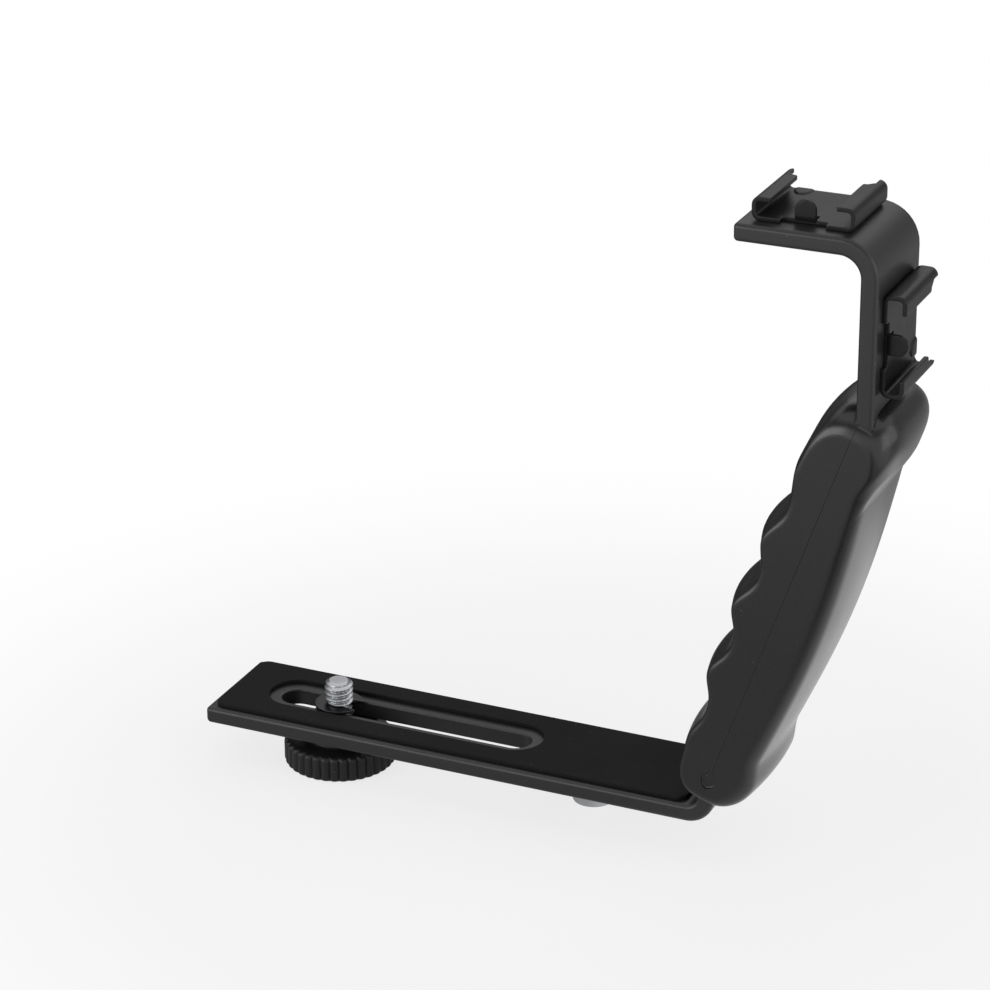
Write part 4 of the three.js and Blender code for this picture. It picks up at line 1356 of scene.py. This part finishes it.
# %% Dress the pieces
finishes = {
    bar_coat: ["bent_bar"],
    grip_moulding: ["finger_shell", "palm_shell"],
    knob_moulding: ["ribbed_knob"],
    shoe_coat: [name for name in dressed if name.startswith("pressed_") or "_rivet_" in name],
    pad_rubber: ["rubber_pad"],
    nylon: ["nylon_washer"],
    zinc_plate: ["threaded_socket", "hex_bolt"],
    black_oxide: ["pan_screw_lower", "pan_screw_middle", "pan_screw_upper", "spring_clip"],
}
for material, names in finishes.items():
    for name in names:
        dressed[name].data.materials.append(material)
bare = [name for name, piece in dressed.items() if not piece.data.materials]
print("pieces:", len(dressed), "without a finish:", bare)

# %% [markdown]
# ## The floor
#
# The photograph is a shop picture on white. The floor is a pale sheet that keeps
# the bracket's shadow. It lies just under the knob, the lowest piece, and is wide
# enough to show no edge from any side.

# %% Floor sheet
floor_mesh = bpy.data.meshes.new("floor")
drawing = bmesh.new()
bmesh.ops.create_grid(drawing, x_segments=8, y_segments=8, size=3)
drawing.to_mesh(floor_mesh)
drawing.free()
floor = bpy.data.objects.new("floor", floor_mesh)
floor.location = (0, 0, cad_box[0].z - 0.0002)
bpy.context.scene.collection.objects.link(floor)
print("floor at z in mm:", round(floor.location.z / mm, 2))

# %% [markdown]
# Black satin paint has little colour of its own and shows what it mirrors, so its
# shapes are drawn by what lies around it. A photographer lays white and black
# cards there. Card objects would also stop the lamps' light, so here the place on
# the floor decides how bright it looks in a mirror: grey in front and lighter
# further out, white on the right and in a pool behind the grip, dark in a strip
# towards the camera, and dark on the left behind.

# %% Floor in a mirror
floor_paint = bpy.data.materials.new("floor_paint")
floor_paint.use_nodes = True
tree = floor_paint.node_tree
wire = Wiring(tree)
spot = wire.node("TexCoord").outputs["Object"]
spot_x, spot_y, _ = wire.node("SeparateXYZ", Vector=spot).outputs


def spot_to(x, y):
    """The distance on the floor to a place."""
    return wire.node("VectorMath", {"operation": "DISTANCE"}, _0=spot, _1=(x, y, 0)).outputs["Value"]


far_right = wire.ramp(spot_x, 0.17, 0.25, 0.0, 1.0)
outwards = wire.math("MAXIMUM", wire.ramp(spot_y, -0.34, -0.10, 0.85, 0.42), far_right)
strip_middle = wire.math("ADD", wire.math("MULTIPLY", spot_y, -0.25), 0.0675)
strip_distance = wire.math("ABSOLUTE", wire.math("SUBTRACT", spot_x, strip_middle))
strip = wire.math("MAXIMUM", wire.ramp(strip_distance, 0.02, 0.055, 0.12, 1.0),
                  wire.ramp(spot_y, -0.12, -0.08, 0.0, 1.0))
in_front = wire.math("MINIMUM", wire.math("MULTIPLY", outwards, strip),
                     wire.ramp(spot_y, 0.0, 0.1, 1.0, 0.42))
pool = wire.ramp(spot_to(0.09, 0.05), 0.07, 0.15, 1.0, 0.0)
left_behind = wire.math("MAXIMUM", wire.ramp(spot_x, -0.10, 0.02, 0.12, 1.0),
                        wire.ramp(spot_y, -0.01, 0.04, 1.0, 0.0))
in_mirror = wire.math("MULTIPLY", wire.math("MAXIMUM", in_front, pool), left_behind)
print("nodes that shade the floor in a mirror:", len(tree.nodes))

# %% [markdown]
# The camera sees the sheet's own paint, with its shadow, blended with plain white.
# Near the bracket about a quarter of it is paint, and further out the floor melts
# into the white backdrop. Light that falls on the sheet and bounces back meets
# the paint alone.

# %% Floor paint
paint = tree.nodes["Principled BSDF"]
paint.inputs["Base Color"].default_value = (0.82, 0.82, 0.82, 1)
paint.inputs["Roughness"].default_value = 0.9
paint.inputs["Specular IOR Level"].default_value = 0.1
path = wire.node("LightPath")
far = wire.ramp(spot_to(0, 0), 0.08, 0.21, 0.76, 1.0)
strength = wire.between(path.outputs["Is Glossy Ray"], 1.0, in_mirror)
white = wire.node("Emission", Color=(1, 1, 1, 1), Strength=strength).outputs[0]
shown = wire.math("MAXIMUM", wire.math("MULTIPLY", path.outputs["Is Camera Ray"], far),
                  path.outputs["Is Glossy Ray"])
blend = wire.node("MixShader", _0=shown, _1=paint.outputs[0], _2=white).outputs[0]
tree.links.new(blend, tree.nodes["Material Output"].inputs["Surface"])
floor_mesh.materials.append(floor_paint)
print("nodes in the floor's finish:", len(tree.nodes))

# %% [markdown]
# ## The studio around it
#
# The backdrop is plain white to the camera, and gives a dim, even light. In a
# mirror it is white low in front and again overhead, with a dark band between, so
# that every rounded edge shows a light line with a dark one beside it. Low behind
# it is grey, which keeps the upper faces from going pale at their shallow angle.

# %% World
world = bpy.data.worlds.new("studio")
bpy.context.scene.world = world
world.use_nodes = True
tree = world.node_tree
wire = Wiring(tree)
path = wire.node("LightPath")
heading = wire.node("SeparateXYZ", Vector=wire.node("TexCoord").outputs["Generated"])
heading_x, heading_y, heading_z = heading.outputs
in_front = wire.math("MAXIMUM", wire.ramp(heading_z, 0.38, 0.55, 1.0, 0.08),
                     wire.ramp(heading_z, 0.62, 0.8, 0.0, 1.0))
low_behind = wire.math("MULTIPLY", wire.ramp(heading_x, -0.6, -0.2, 0.35, 1.0),
                       wire.ramp(heading_x, 0.1, 0.3, 0.38, 0.3))
behind = wire.math("MAXIMUM", low_behind, wire.ramp(heading_z, 0.43, 0.6, 0.0, 1.0))
around = wire.between(wire.ramp(heading_y, -0.25, 0.15, 1.0, 0.0), behind, in_front)
lit = wire.between(path.outputs["Is Glossy Ray"], 0.5, around)
seen = wire.math("MAXIMUM", lit, path.outputs["Is Camera Ray"])
tree.links.new(seen, tree.nodes["Background"].inputs["Strength"])
tree.nodes["Background"].inputs["Color"].default_value = (1, 1, 1, 1)
print("nodes in the world:", len(tree.nodes))

# %% [markdown]
# ## The lamps
#
# Four large soft lamps stand around the bracket: a key at the front left, low
# enough to leave the upper faces dark, a weaker strip beside it for the finger
# side, a wide fill on the right for the palm, and one behind that lifts the far
# edges. Each is plain white.

# %% Lamps
def softbox(name, place, size, watts, aim=(0.0, 0.0, 0.06)):
    """A white rectangle of light, aimed at the middle of the bracket."""
    data = bpy.data.lights.new(name, "AREA")
    data.shape, data.size, data.size_y, data.energy = "RECTANGLE", size[0], size[1], watts
    lamp = bpy.data.objects.new(name, data)
    lamp.location = place
    lamp.rotation_euler = (Vector(aim) - Vector(place)).to_track_quat("-Z", "Y").to_euler()
    bpy.context.scene.collection.objects.link(lamp)
    print(f"{name}: {watts} W at {place}")
    return lamp


softbox("key", (-0.50, -0.80, 0.32), (0.8, 0.5), 3.2)
softbox("left_strip", (-0.75, -0.50, 0.10), (0.4, 0.6), 0.8)
softbox("right_fill", (0.8, 0.0, 0.25), (0.9, 0.7), 2.6)
softbox("back", (-0.1, 0.8, 0.6), (0.8, 0.4), 0.6)

bpy.context.scene.view_settings.view_transform = "Standard"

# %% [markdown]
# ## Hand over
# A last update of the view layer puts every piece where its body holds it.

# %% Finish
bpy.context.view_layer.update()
